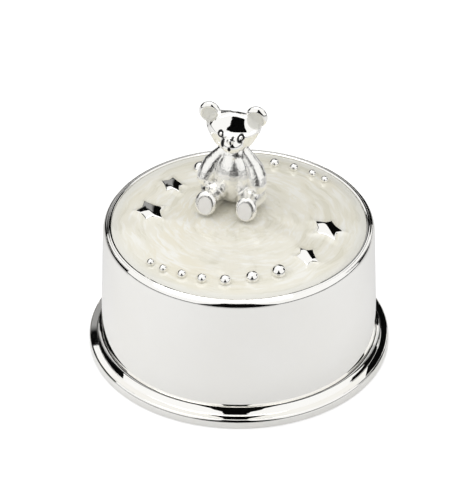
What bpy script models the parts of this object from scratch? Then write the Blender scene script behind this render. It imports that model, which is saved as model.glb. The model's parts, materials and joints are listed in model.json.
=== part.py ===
"""Music box: a silver-plated drum with an enamelled top and a seated bear, which turns on a
stepped foot as the wind-up movement inside it plays. Metres, +Z up, the origin on the axis
at the level of the table. The bear faces -Y."""

import math

import bmesh
import bpy
from mathutils import Matrix, Vector

MM = 0.001

# Air between pieces
GAP = 0.3 * MM  # between two pieces that touch
RUN = 0.4 * MM  # round what turns
OVERRUN = 0.6 * MM  # how far a cutter runs past what it cuts

# Foot
FOOT_PROJECTION = 3.7 * MM
FOOT_BAND_HEIGHT = 2.5 * MM
FOOT_HEIGHT = 4.7 * MM
FOOT_RIM_WIDTH = 3.4 * MM
FOOT_WALL = 1.3 * MM
SLEEVE_SHARE = 0.2068  # of the drum's height
SLEEVE_WALL = 1.1 * MM
LUG_RADIUS = 3.4 * MM
LUG_LENGTH = 5.5 * MM

# Drum
DRUM_TOP_RADIUS = 40.1 * MM
DRUM_TAPER = 1.2 * MM
DRUM_WALL = 1.2 * MM
DRUM_HEIGHT = 35.3 * MM
RIM_WIDTH = 2.4 * MM
RIM_BEAD_RADIUS = 0.62 * MM
RIM_STEP = 0.15 * MM
RIM_LIP_RISE = 0.85 * MM
LEDGE_WIDTH = 1.6 * MM
LEDGE_THICKNESS = 1.2 * MM

# Top plate, its cast ornaments and the enamel over it
PLATE_THICKNESS = 1.3 * MM
ENAMEL_THICKNESS = 1.0 * MM
TOP_DOME = 1.7 * MM
BEAD_RADIUS = 2.15 * MM
STAR_RADIUS = 4.9 * MM
STAR_HEIGHT = 1.1 * MM

# Bear
BEAR_HEIGHT = 33.9 * MM
BEAR_SCREW_MARGIN = 0.9 * MM

# Screws
SCREW_RADIUS = 0.9 * MM
SCREW_HEAD_SHARE = 1.9
SCREW_HEAD_HEIGHT = 1.1 * MM
SLOT_WIDTH = 0.5 * MM

# Winding key and arbor
ARBOR_RADIUS = 2.0 * MM
KEY_SPAN = 22.0 * MM
KEY_THICKNESS = 1.8 * MM
KEY_GROUND = 1.6 * MM
KEY_HUB_RADIUS = 3.1 * MM
CLUTCH_WIRE_RADIUS = 0.28 * MM
CLUTCH_PITCH = 0.95 * MM
CLUTCH_TURNS = 3

# Movement
BOTTOM_PLATE_THICKNESS = 0.9 * MM
BEDPLATE_THICKNESS = 1.6 * MM
BUSH_WALL = 1.3 * MM
BUSH_STAND = 1.6 * MM
MOVEMENT_CLEARANCE = 1.0 * MM
BARREL_WALL = 1.2 * MM
BARREL_FLOOR = 1.0 * MM
COVER_THICKNESS = 0.8 * MM
CROWN_FACE = 1.6 * MM
CROWN_TEETH = 30
PINION_TEETH = 10
SPRING_THICKNESS = 0.4 * MM
SPRING_TURNS = 5
POST_RADIUS = 2.4 * MM
POST_HEIGHT = 8.0 * MM
HUB_WALL = 1.7 * MM
HUB_FLANGE_RADIUS = 8.0 * MM
HUB_FLANGE_THICKNESS = 1.3 * MM

# Cylinder and comb
CYLINDER_SHARE = 0.26667  # of the height between the bedplate and the top plate
CYLINDER_WALL = 0.9 * MM
PIN_HEIGHT = 0.6 * MM
SHAFT_RADIUS = 1.0 * MM
DISC_THICKNESS = 0.8 * MM
BRACKET_THICKNESS = 1.0 * MM
BRACKET_HALF_WIDTH = 3.0 * MM
BRACKET_FOOT = 4.6 * MM
NOTES = 15
COLUMNS = 32
COMB_THICKNESS = 0.8 * MM
COMB_BAR_DEPTH = 6.5 * MM
COMB_SLOT = 0.3 * MM

# Governor
FINE_MODULE_SHARE = 0.064516  # of the cylinder's radius
CROWN_MODULE_SHARE = 1.5  # of the fine module
FINE_WIDTH = 1.4 * MM
CYLINDER_GEAR_TEETH = 30
GOVERNOR_PINION_TEETH = 10
WHEEL_TEETH = 16
WORM_STARTS = 2
WORM_RADIUS_SHARE = 3  # of the fine module
WORM_LENGTH_SHARE = 11
PIVOT_RADIUS = 0.6 * MM
CHEEK_THICKNESS = 0.8 * MM
ARM_WIDTH = 2.6 * MM
VANE_RADIUS = 2.9 * MM
VANE_HEIGHT = 1.9 * MM
VANE_THICKNESS = 0.4 * MM
GOVERNOR_DROP_ANGLE = math.radians(30)

# Facets
FINE_SIDES = 48
ROUND_SIDES = 20
SMALL_SIDES = 12

# Levels that follow
sleeve_top = FOOT_HEIGHT + SLEEVE_SHARE * DRUM_HEIGHT
drum_bottom = FOOT_HEIGHT + RUN
wall_top = drum_bottom + DRUM_HEIGHT
enamel_edge = wall_top + RIM_LIP_RISE
plate_edge = enamel_edge - ENAMEL_THICKNESS - GAP
plate_bottom = plate_edge - PLATE_THICKNESS
ledge_top = plate_bottom - GAP
bottom_plate_z = sleeve_top + GAP
bottom_plate_top = bottom_plate_z + BOTTOM_PLATE_THICKNESS
bedplate_z = bottom_plate_top + GAP
bedplate_top = bedplate_z + BEDPLATE_THICKNESS
seat_z = bedplate_top + GAP
bush_top = bedplate_top + BUSH_STAND

# Radii that follow
drum_foot_radius = DRUM_TOP_RADIUS + DRUM_TAPER
foot_radius = drum_foot_radius + FOOT_PROJECTION
drum_bore = DRUM_TOP_RADIUS - DRUM_WALL
sleeve_radius = drum_bore - RUN
sleeve_bore = sleeve_radius - SLEEVE_WALL
rim_bore = DRUM_TOP_RADIUS - RIM_WIDTH
plate_radius = rim_bore - GAP
ledge_bore = plate_radius - LEDGE_WIDTH
movement_radius = drum_bore - MOVEMENT_CLEARANCE
arbor_hole = ARBOR_RADIUS + GAP
clutch_radius = arbor_hole + CLUTCH_WIRE_RADIUS
clutch_bore = clutch_radius + CLUTCH_WIRE_RADIUS + GAP
bush_radius = clutch_bore + BUSH_WALL
screw_hole = SCREW_RADIUS + GAP
screw_head = SCREW_HEAD_SHARE * SCREW_RADIUS
shaft_hole = SHAFT_RADIUS + GAP
pivot_hole = PIVOT_RADIUS + GAP

# Cylinder axis and crown wheel
cylinder_radius = CYLINDER_SHARE * (plate_bottom - seat_z)
fine_module = FINE_MODULE_SHARE * cylinder_radius
crown_module = CROWN_MODULE_SHARE * fine_module
tip_radius = cylinder_radius + PIN_HEIGHT
headroom = GAP + RUN + max(LEDGE_THICKNESS, SCREW_HEAD_HEIGHT)
axis_z = plate_bottom - headroom - tip_radius
crown_radius = crown_module * CROWN_TEETH / 2
crown_out = crown_radius + CROWN_FACE / 2
crown_in = crown_out - CROWN_FACE
barrel_radius = crown_out
pinion_radius = crown_module * PINION_TEETH / 2
crown_pitch_z = axis_z - pinion_radius
tooth_addendum = 0.75
tooth_dedendum = 1.05
crown_root_z = crown_pitch_z - tooth_dedendum * crown_module
crown_tip_z = crown_pitch_z + tooth_addendum * crown_module
crown_z = crown_root_z - COVER_THICKNESS
cover_top = crown_z - GAP
cover_z = cover_top - COVER_THICKNESS
barrel_top = cover_z - GAP
barrel_z = bush_top + GAP

# Places along the cylinder
bracket_in_x = barrel_radius + RUN
cylinder_x = bracket_in_x + BRACKET_THICKNESS + RUN
fine_pitch = fine_module / 2
gear_distance = fine_pitch * (CYLINDER_GEAR_TEETH + GOVERNOR_PINION_TEETH)
wheel_radius = fine_pitch * WHEEL_TEETH
worm_radius = WORM_RADIUS_SHARE * fine_module
worm_length = WORM_LENGTH_SHARE * fine_module
worm_distance = wheel_radius + worm_radius
governor_y = gear_distance * math.cos(GOVERNOR_DROP_ANGLE)
governor_z = axis_z - gear_distance * math.sin(GOVERNOR_DROP_ANGLE)
worm_y = governor_y + worm_distance
worm_x = math.sqrt((movement_radius - VANE_RADIUS) ** 2 - worm_y**2)
wheel_width = FINE_WIDTH - RUN / 2
cheek_in_x = worm_x - wheel_width / 2 - RUN - CHEEK_THICKNESS
cheek_out_x = worm_x + wheel_width / 2 + RUN
bracket_out_x = cheek_in_x + CHEEK_THICKNESS - BRACKET_THICKNESS
gear_x = bracket_out_x - RUN - FINE_WIDTH
cylinder_end = gear_x - RUN
cylinder_length = cylinder_end - cylinder_x

SILVER = ((0.93, 0.92, 0.90), 0.08, 1.0)
ENAMEL = ((0.86, 0.83, 0.74), 0.12, 0.0)
BRASS = ((0.80, 0.62, 0.30), 0.25, 1.0)
STEEL = ((0.55, 0.56, 0.58), 0.30, 1.0)
ZINC = ((0.62, 0.62, 0.61), 0.50, 1.0)
BLUED = ((0.16, 0.18, 0.24), 0.35, 1.0)
VANE = ((0.18, 0.18, 0.18), 0.60, 0.0)


def clear_scene():
    for obj in list(bpy.data.objects):
        bpy.data.objects.remove(obj, do_unlink=True)


def material(name, look):
    colour, roughness, metallic = look
    made = bpy.data.materials.new(name)
    made.use_nodes = True
    shader = made.node_tree.nodes["Principled BSDF"]
    shader.inputs["Base Color"].default_value = (*colour, 1)
    shader.inputs["Roughness"].default_value = roughness
    shader.inputs["Metallic"].default_value = metallic
    return made


def link(name, mesh, look=None, parent=None):
    """An object for a mesh; with no look it is a helper that isn't part of the model."""
    obj = bpy.data.objects.new(name, mesh)
    bpy.context.scene.collection.objects.link(obj)
    if parent is not None:
        obj.parent = parent
        obj.matrix_parent_inverse = parent.matrix_world.inverted()
    if look is None:
        obj.hide_render = True
        obj.display_type = "WIRE"
    else:
        mesh.materials.clear()
        mesh.materials.append(material(name, look))
        mesh.shade_smooth()
        mesh.set_sharp_from_angle(angle=math.radians(35))
    return obj


def new_mesh(name, bm):
    bmesh.ops.recalc_face_normals(bm, faces=bm.faces)
    mesh = bpy.data.meshes.new(name)
    bm.to_mesh(mesh)
    bm.free()
    return mesh


def axis_empty(name, location):
    """Empty on a joint's axis, which the pieces of that body are parented to."""
    empty = bpy.data.objects.new(name, None)
    bpy.context.scene.collection.objects.link(empty)
    empty.location = location
    bpy.context.view_layer.update()
    return empty


def turned(bm, profile, sides=ROUND_SIDES, at=(0, 0, 0)):
    """Adds a closed (radius, height) profile spun about the Z axis through at."""
    ring = [bm.verts.new((radius, 0, height)) for radius, height in profile]
    edges = [bm.edges.new((a, b)) for a, b in zip(ring, ring[1:] + ring[:1])]
    spun = bmesh.ops.spin(
        bm, geom=ring + edges, axis=(0, 0, 1), cent=(0, 0, 0), steps=sides,
        angle=math.tau, use_merge=True,
    )
    made = {v for e in spun["geom_last"] for v in getattr(e, "verts", [e])}
    island = connected(made | set(ring))
    bmesh.ops.remove_doubles(bm, verts=list(island), dist=MM / 1000)
    island = [v for v in island if v.is_valid]
    edges_left = {e for v in island for e in v.link_edges}
    bmesh.ops.dissolve_degenerate(bm, dist=MM / 1000, edges=list(edges_left))
    bmesh.ops.translate(bm, verts=[v for v in island if v.is_valid], vec=at)


def connected(seeds):
    """Every vertex reached over edges from the seeds."""
    found, queue = set(seeds), list(seeds)
    while queue:
        for edge in queue.pop().link_edges:
            for vert in edge.verts:
                if vert not in found:
                    found.add(vert)
                    queue.append(vert)
    return found


def post(bm, radius, low, high, at=(0, 0), sides=ROUND_SIDES):
    """Adds an upright cylinder."""
    turned_matrix = Matrix.Translation((at[0], at[1], (low + high) / 2))
    bmesh.ops.create_cone(
        bm, cap_ends=True, segments=sides, radius1=radius, radius2=radius,
        depth=high - low, matrix=turned_matrix,
    )


def rod(bm, radius, start, end, y, z, sides=ROUND_SIDES):
    """Adds a cylinder along X."""
    lie = Matrix.Translation(((start + end) / 2, y, z)) @ Matrix.Rotation(math.pi / 2, 4, "Y")
    bmesh.ops.create_cone(
        bm, cap_ends=True, segments=sides, radius1=radius, radius2=radius,
        depth=end - start, matrix=lie,
    )


def block(bm, low, high):
    """Adds a box between two corners."""
    low, high = Vector(low), Vector(high)
    size = Matrix.Diagonal((*(high - low), 1))
    bmesh.ops.create_cube(bm, size=1, matrix=Matrix.Translation((low + high) / 2) @ size)


def prism(bm, outline, low, high, place=None):
    """Adds an outline of (x, y) points extruded from low to high, then placed by a matrix."""
    verts = [bm.verts.new((x, y, low)) for x, y in outline]
    face = bm.faces.new(verts)
    grown = bmesh.ops.extrude_face_region(bm, geom=[face])
    top = [v for v in grown["geom"] if isinstance(v, bmesh.types.BMVert)]
    bmesh.ops.translate(bm, verts=top, vec=(0, 0, high - low))
    if place is not None:
        bmesh.ops.transform(bm, matrix=place, verts=verts + top)
    return verts, top


def build(name, look, parent, *steps):
    """A node whose mesh is made by the steps, each of which adds to it."""
    bm = bmesh.new()
    for step in steps:
        step(bm)
    return link(name, new_mesh(name, bm), look, parent)


def helper(name, *steps):
    bm = bmesh.new()
    for step in steps:
        step(bm)
    return link(name, new_mesh(name, bm))


def boolean(obj, other, operation):
    modifier = obj.modifiers.new(other.name, "BOOLEAN")
    modifier.operation = operation
    modifier.object = other


def cut(obj, *steps):
    """Cuts what the steps make out of a node."""
    boolean(obj, helper(obj.name + "_cutter", *steps), "DIFFERENCE")


def join(obj, *steps):
    """Joins what the steps make to a node."""
    boolean(obj, helper(obj.name + "_joined", *steps), "UNION")


def polar(radius, angle):
    return radius * math.cos(angle), radius * math.sin(angle)


def between(low, high, share):
    return low + (high - low) * share


# Screws

def screw_profile(length):
    """Outline of a pan-head screw whose head sits above zero and whose shank hangs below."""
    rounding = SCREW_HEAD_HEIGHT / 4
    return [
        (0, -length), (SCREW_RADIUS, -length), (SCREW_RADIUS, 0), (screw_head, 0),
        (screw_head, SCREW_HEAD_HEIGHT - rounding), (screw_head - rounding, SCREW_HEAD_HEIGHT),
        (0, SCREW_HEAD_HEIGHT),
    ]


def screw_mesh(name, length):
    """A slotted screw with its shank down; the slot is cut once and kept in the mesh."""
    bm = bmesh.new()
    turned(bm, screw_profile(length), SMALL_SIDES)
    blank = link(name + "_blank", new_mesh(name, bm))
    depth = SCREW_HEAD_HEIGHT / 2
    reach = screw_head + OVERRUN
    slot = helper(name + "_slot", lambda b: block(
        b, (-reach, -SLOT_WIDTH / 2, SCREW_HEAD_HEIGHT - depth),
        (reach, SLOT_WIDTH / 2, SCREW_HEAD_HEIGHT + OVERRUN)))
    boolean(blank, slot, "DIFFERENCE")
    graph = bpy.context.evaluated_depsgraph_get()
    mesh = bpy.data.meshes.new_from_object(blank.evaluated_get(graph))
    mesh.name = name
    return mesh


def place_screw(name, mesh, seat, look, parent, turn=0, flip=False):
    """One screw whose head bears on seat. A flipped screw is driven from underneath."""
    obj = link(name, mesh.copy(), look)
    obj.location = seat
    obj.rotation_euler = (math.pi if flip else 0, 0, turn)
    bpy.context.view_layer.update()
    world = obj.matrix_world.copy()
    obj.parent = parent
    obj.matrix_parent_inverse = parent.matrix_world.inverted()
    obj.matrix_world = world
    return obj


# Foot

FOOT_PROFILE_SHARES = (
    (0.00, 1.00), (0.05, 0.76), (0.19, 0.60), (0.31, 0.55), (0.35, 0.33), (0.46, 0.34),
    (0.64, 0.26), (0.80, 0.06), (0.84, 0.00), (0.93, 0.02), (1.00, -0.16),
)
LUG_ANGLES = [math.radians(60 + 120 * step) for step in range(3)]
lug_centre = sleeve_bore - LUG_RADIUS + FOOT_WALL / 2


def foot_profile():
    """Outline of the foot from its shoulder down the mouldings and back up the inside."""
    outside = [
        (between(drum_foot_radius, foot_radius, out), between(FOOT_BAND_HEIGHT, FOOT_HEIGHT, up))
        for out, up in FOOT_PROFILE_SHARES
    ]
    edge = GAP / 2
    rim_bore_low = foot_radius - FOOT_RIM_WIDTH
    return outside + [
        (foot_radius, edge), (foot_radius - edge, 0), (rim_bore_low, 0),
        (rim_bore_low, FOOT_BAND_HEIGHT - FOOT_WALL),
        (sleeve_bore, FOOT_HEIGHT - FOOT_WALL), (sleeve_bore, sleeve_top),
        (sleeve_radius, sleeve_top), (sleeve_radius, FOOT_HEIGHT),
    ]


def make_foot(base):
    foot = build("foot_ring", SILVER, base, lambda bm: turned(bm, foot_profile(), FINE_SIDES))
    lug_low = sleeve_top - LUG_LENGTH
    centres = [polar(lug_centre, angle) for angle in LUG_ANGLES]
    join(foot, *[lambda bm, c=c: post(bm, LUG_RADIUS, lug_low, sleeve_top, c) for c in centres])
    hole_low = lug_low + FOOT_WALL
    cut(foot, *[
        lambda bm, c=c: post(bm, screw_hole, hole_low, sleeve_top + OVERRUN, c, SMALL_SIDES)
        for c in centres
    ])
    plate_outer = sleeve_radius - GAP
    plate = build("bottom_plate", ZINC, base, lambda bm: post(
        bm, plate_outer, bottom_plate_z, bottom_plate_top, sides=FINE_SIDES))
    low, high = bottom_plate_z - OVERRUN, bottom_plate_top + OVERRUN
    holes = [(screw_hole, c) for c in centres + BEDPLATE_SCREWS] + [(bush_radius + GAP, (0, 0))]
    cut(plate, *[
        lambda bm, r=r, c=c: post(bm, r, low, high, c, SMALL_SIDES if any(c) else ROUND_SIDES)
        for r, c in holes
    ])
    length = bottom_plate_top + GAP - hole_low - GAP
    mesh = screw_mesh("bottom_plate_screw", length)
    for number, centre in enumerate(centres, 1):
        place_screw(
            f"bottom_plate_screw_{number}", mesh, (*centre, bottom_plate_top + GAP),
            STEEL, base, turn=number,
        )


# Bedplate

BED_END_SHARE = 2.6
BED_EDGE_SHARE = 1.5
bed_left = barrel_radius + BED_END_SHARE * screw_head
bed_half = barrel_radius + screw_head
bed_radius = movement_radius - GAP
BED_SIDE_SHARES = (-0.66, 0.48)
BED_SCREW_SHARE = 0.93
BED_RIGHT_SCREW_SHARES = (0.62, 0.40)
bed_corner = bed_left - BED_EDGE_SHARE * screw_head
BEDPLATE_SCREWS = [
    (-bed_corner, -BED_SCREW_SHARE * barrel_radius),
    (-bed_corner, BED_SCREW_SHARE * barrel_radius),
    (bed_radius * BED_RIGHT_SCREW_SHARES[0], bed_radius * BED_RIGHT_SCREW_SHARES[1]),
]


def bedplate_outline():
    """Straight at the winding end, round where it runs up to the drum's wall."""
    low, high = (math.asin(share) for share in BED_SIDE_SHARES)
    steps = 16
    arc = [polar(bed_radius, between(low, high, step / steps)) for step in range(steps + 1)]
    return arc + [(-bed_left, bed_half), (-bed_left, -bed_half)]


def make_bedplate(base):
    plate = build("bedplate", ZINC, base, lambda bm: prism(
        bm, bedplate_outline(), bedplate_z, bedplate_top))
    low, high = bedplate_z - OVERRUN, bedplate_top + OVERRUN
    small = BEDPLATE_SCREWS + [bracket_in_screw, bracket_out_screw, governor_screw]
    cut(plate, lambda bm: post(bm, bush_radius + GAP, low, high), *[
        lambda bm, c=c: post(bm, screw_hole, low, high, c, SMALL_SIDES) for c in small
    ])
    mesh = screw_mesh("bedplate_screw", seat_z - bottom_plate_z)
    for number, centre in enumerate(BEDPLATE_SCREWS, 1):
        place_screw(f"bedplate_screw_{number}", mesh, (*centre, seat_z), STEEL, base, turn=number)
    floor = bush_top - CLUTCH_PITCH * CLUTCH_TURNS - 2 * CLUTCH_WIRE_RADIUS - 2 * GAP
    build("arbor_bush", BRASS, base, lambda bm: turned(bm, [
        (arbor_hole, bottom_plate_z), (bush_radius, bottom_plate_z), (bush_radius, bush_top),
        (clutch_bore, bush_top), (clutch_bore, floor), (arbor_hole, floor),
    ]))
    make_clutch_spring(base, floor + GAP + CLUTCH_WIRE_RADIUS)


def coil_points(radius, low, pitch, turns, per_turn):
    return [
        (*polar(radius, math.tau * step / per_turn), low + pitch * step / per_turn)
        for step in range(turns * per_turn + 1)
    ]


def wire(name, points, radius, look, parent):
    """A round wire through the points, with its ends closed."""
    curve = bpy.data.curves.new(name, "CURVE")
    curve.dimensions = "3D"
    curve.bevel_depth = radius
    curve.bevel_resolution = 1
    curve.use_fill_caps = True
    spline = curve.splines.new("POLY")
    spline.points.add(len(points) - 1)
    for point, place in zip(spline.points, points):
        point.co = (*place, 1)
    obj = bpy.data.objects.new(name, curve)
    bpy.context.scene.collection.objects.link(obj)
    curve.materials.append(material(name, look))
    obj.parent = parent
    obj.matrix_parent_inverse = parent.matrix_world.inverted()
    return obj


def make_clutch_spring(base, low):
    points = coil_points(clutch_radius, low, CLUTCH_PITCH, CLUTCH_TURNS, SMALL_SIDES)
    wire("clutch_spring", points, CLUTCH_WIRE_RADIUS, STEEL, base)


# Winding key and arbor

WING_SHARES = (
    (0.16, 0.30), (0.30, 0.22), (0.50, 0.04), (0.70, 0.00), (0.88, 0.08), (0.98, 0.28),
    (1.00, 0.52), (0.94, 0.78), (0.80, 0.95), (0.62, 1.00), (0.42, 0.90), (0.28, 0.74),
    (0.16, 0.66),
)
KEY_WING_SHARE = 0.68
KEY_HUB_START_SHARE = 0.12


def wing_outline(key_top):
    """Both wings of the key, seen from the front: (x, z) points all round."""
    half, tall = KEY_SPAN / 2, (key_top - KEY_GROUND) * KEY_WING_SHARE
    right = [(half * across, KEY_GROUND + tall * up) for across, up in WING_SHARES]
    return right + [(-x, z) for x, z in reversed(right)]


def make_winder(winder):
    key_top = bottom_plate_z - RUN
    hub_low = between(KEY_GROUND, key_top, KEY_HUB_START_SHARE)
    upright = Matrix.Rotation(math.pi / 2, 4, "X")
    key = build("winding_key", BRASS, winder, lambda bm: prism(
        bm, wing_outline(key_top), -KEY_THICKNESS / 2, KEY_THICKNESS / 2, upright))
    join(key, lambda bm: post(bm, KEY_HUB_RADIUS, hub_low, key_top))
    socket = hub_low + FOOT_WALL
    cut(key, lambda bm: post(bm, arbor_hole, socket, key_top + OVERRUN))
    build("winding_arbor", STEEL, winder, lambda bm: post(
        bm, ARBOR_RADIUS, socket + GAP, barrel_top - GAP))


# Drum shell

RIM_ARC = 5
RIM_START_SHARE = -0.42


def rim_profile():
    """The bead round the top of the wall, from its outside over the top to its inside."""
    radius, height = DRUM_TOP_RADIUS - RIM_STEP - RIM_BEAD_RADIUS, wall_top + RIM_BEAD_RADIUS
    angles = [between(RIM_START_SHARE, 1, step / RIM_ARC) * math.pi for step in range(RIM_ARC + 1)]
    return [
        (radius + RIM_BEAD_RADIUS * math.cos(a), height + RIM_BEAD_RADIUS * math.sin(a))
        for a in angles
    ]


def shell_profile():
    edge = GAP / 2
    ledge_z = ledge_top - LEDGE_THICKNESS
    return [
        (drum_bore, drum_bottom), (drum_foot_radius - edge, drum_bottom),
        (drum_foot_radius, drum_bottom + edge), (DRUM_TOP_RADIUS, wall_top - edge),
        (DRUM_TOP_RADIUS - edge, wall_top), *rim_profile(),
        (rim_bore, enamel_edge), (rim_bore, ledge_top), (ledge_bore, ledge_top),
        (ledge_bore, ledge_z), (drum_bore, ledge_z),
    ]


def make_shell(drum):
    build("drum_shell", SILVER, drum, lambda bm: turned(bm, shell_profile(), FINE_SIDES))


# Top plate, beads, stars and enamel

BEAD_ANGLES = [math.radians(angle) for angle in (-51.4, -67.5, -82.2, -95.0, -106.3, -116.6, -124.4)]
BEAD_SIZE_SHARES = (1.0, 0.91, 0.80, 0.70, 0.63, 0.56, 0.53)
BEAD_PLACE_SHARES = (0.781, 0.799, 0.829, 0.842, 0.861, 0.882, 0.906)
STAR_ANGLES = [math.radians(angle) for angle in (1.4, -28.5)]
STAR_SIZE_SHARES = (1.0, 0.78)
STAR_TURNS = [math.radians(angle) for angle in (20, 50)]
STAR_WAIST_SHARE = 0.48
STAR_PLACE_SHARE = 0.725
DOME_RINGS = 3
BEAD_ARC = 3


def dome_height(radius):
    """Height of the domed top above its edge, at a radius from the axis."""
    return TOP_DOME * (1 - (radius / plate_radius) ** 2)


def domed_profile(edge_z, low_rise, low_z):
    """Disc with a domed top from edge_z. low_rise says whether its underside is domed too."""
    radii = [plate_radius * (1 - step / DOME_RINGS) for step in range(DOME_RINGS + 1)]
    over = [(r, edge_z + dome_height(r)) for r in radii]
    under = [(r, low_z + (dome_height(r) if low_rise else 0)) for r in reversed(radii)]
    return over + (under if low_rise else [under[0], under[-1]])


def bead_places():
    """(x, y, radius) of every bead: a run of seven on each half of the top."""
    places = []
    for half in (0, math.pi):
        for angle, size, place in zip(BEAD_ANGLES, BEAD_SIZE_SHARES, BEAD_PLACE_SHARES):
            x, y = polar(place * plate_radius, angle + half)
            places.append((x, y, BEAD_RADIUS * size))
    return places


def star_places():
    """(x, y, radius, turn) of every star: a large and a small one on each half."""
    places = []
    for half in (0, math.pi):
        for angle, size, turn in zip(STAR_ANGLES, STAR_SIZE_SHARES, STAR_TURNS):
            x, y = polar(STAR_PLACE_SHARE * plate_radius, angle + half)
            places.append((x, y, STAR_RADIUS * size, turn + half))
    return places


def bead(bm, x, y, radius, low):
    """Upright stem with a half-round head that stands on the level of the enamel."""
    level = enamel_edge + dome_height(math.hypot(x, y))
    arc = [polar(radius, math.pi / 2 * step / BEAD_ARC) for step in range(BEAD_ARC + 1)]
    turned(bm, [(0, low), (radius, low), *[(r, level + h) for r, h in arc]], SMALL_SIDES, (x, y, 0))


def star_outline(radius, turn, margin=0):
    points = []
    for step in range(10):
        reach = radius if step % 2 == 0 else radius * STAR_WAIST_SHARE
        points.append(polar(reach + margin * (2 - step % 2), turn + math.tau * step / 10))
    return points


def star(bm, x, y, radius, turn, low):
    """Five-pointed star with straight sides and a crowned top."""
    level = enamel_edge + dome_height(math.hypot(x, y))
    outline = [(x + u, y + v) for u, v in star_outline(radius, turn)]
    verts, top = prism(bm, outline, low, level + GAP)
    face = next(f for f in top[0].link_faces if all(v in top for v in f.verts))
    crown = bmesh.ops.poke(bm, faces=[face])
    bmesh.ops.translate(bm, verts=crown["verts"], vec=(0, 0, STAR_HEIGHT))


def make_top(drum):
    plate = build("top_plate", SILVER, drum, lambda bm: turned(
        bm, domed_profile(plate_edge, False, plate_bottom), FINE_SIDES))
    root = plate_edge - PLATE_THICKNESS / 2
    join(plate, *[lambda bm, b=b: bead(bm, *b, root) for b in bead_places()],
         *[lambda bm, s=s: star(bm, *s, root) for s in star_places()])
    blind = plate_bottom + PLATE_THICKNESS
    cut(plate, lambda bm: post(
        bm, screw_hole, plate_bottom - OVERRUN, plate_edge + TOP_DOME + OVERRUN, bear_place,
        SMALL_SIDES), *[
        lambda bm, c=c: post(bm, screw_hole, plate_bottom - OVERRUN, blind, c, SMALL_SIDES)
        for c in hub_screws
    ])
    under = plate_edge + GAP
    inlay = build("enamel_inlay", ENAMEL, drum, lambda bm: turned(
        bm, domed_profile(enamel_edge, True, under), FINE_SIDES))
    low, high = plate_edge - OVERRUN, enamel_edge + TOP_DOME + OVERRUN
    cut(inlay, *[
        lambda bm, b=b: post(bm, b[2] + GAP, low, high, b[:2], SMALL_SIDES) for b in bead_places()
    ], *[lambda bm, s=s: star_hole(bm, s, low, high) for s in star_places()],
        lambda bm: post(bm, screw_hole, low, high, bear_place, SMALL_SIDES))


def star_hole(bm, place, low, high):
    x, y, radius, turn = place
    prism(bm, [(x + u, y + v) for u, v in star_outline(radius, turn, GAP)], low, high)


# Bear, as stretched balls: (centre, radii, tilt about Y) in shares of its height, from the middle
# of its seat. It faces -Y.

BEAR_BALL_SHARES = {
    "torso": ((0, 0.02, 0.270), (0.205, 0.180, 0.300), 0),
    "shoulders": ((0, 0.015, 0.470), (0.190, 0.150, 0.120), 0),
    "neck": ((0, -0.010, 0.575), (0.135, 0.125, 0.080), 0),
    "head": ((0, -0.030, 0.765), (0.232, 0.195, 0.158), 0),
    "chin": ((0, -0.060, 0.670), (0.160, 0.150, 0.105), 0),
    "muzzle": ((0, -0.200, 0.705), (0.098, 0.090, 0.074), 0),
    "nose": ((0, -0.282, 0.738), (0.036, 0.022, 0.026), 0),
    "ear_right": ((-0.205, -0.015, 0.912), (0.086, 0.050, 0.086), 0),
    "ear_left": ((0.205, -0.015, 0.912), (0.086, 0.050, 0.086), 0),
    "arm_right": ((-0.232, -0.020, 0.345), (0.080, 0.090, 0.212), 0.26),
    "arm_left": ((0.232, -0.020, 0.345), (0.080, 0.090, 0.212), -0.26),
    "hand_right": ((-0.296, -0.050, 0.190), (0.070, 0.078, 0.068), 0),
    "hand_left": ((0.296, -0.050, 0.190), (0.070, 0.078, 0.068), 0),
    "leg_right": ((-0.150, -0.150, 0.100), (0.100, 0.165, 0.100), 0),
    "leg_left": ((0.150, -0.150, 0.100), (0.100, 0.165, 0.100), 0),
    "foot_right": ((-0.168, -0.285, 0.112), (0.092, 0.045, 0.112), 0),
    "foot_left": ((0.168, -0.285, 0.112), (0.092, 0.045, 0.112), 0),
}
EAR_CUP_SHARES = ((0.205, -0.085, 0.915), 0.056)
BEAR_SCREW_SHARE = 0.16
BEAR_ANGLE = math.radians(112.2)
bear_place = polar(HUB_FLANGE_RADIUS + screw_head + BEAR_SCREW_MARGIN, BEAR_ANGLE)
bear_z = enamel_edge + TOP_DOME + GAP


def bear_ball(bm, shares):
    centre, radii, tilt = shares
    middle = Vector((*bear_place, bear_z)) + Vector(centre) * BEAR_HEIGHT
    place = Matrix.Translation(middle) @ Matrix.Rotation(tilt, 4, "Y")
    stretch = Matrix.Diagonal((*(Vector(radii) * BEAR_HEIGHT), 1))
    bmesh.ops.create_uvsphere(
        bm, u_segments=14, v_segments=9, radius=1, matrix=place @ stretch)


def ear_cup(bm, side):
    (across, back, up), radius = EAR_CUP_SHARES
    middle = Vector((*bear_place, bear_z)) + Vector((side * across, back, up)) * BEAR_HEIGHT
    bmesh.ops.create_uvsphere(
        bm, u_segments=10, v_segments=7, radius=radius * BEAR_HEIGHT,
        matrix=Matrix.Translation(middle))


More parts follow.
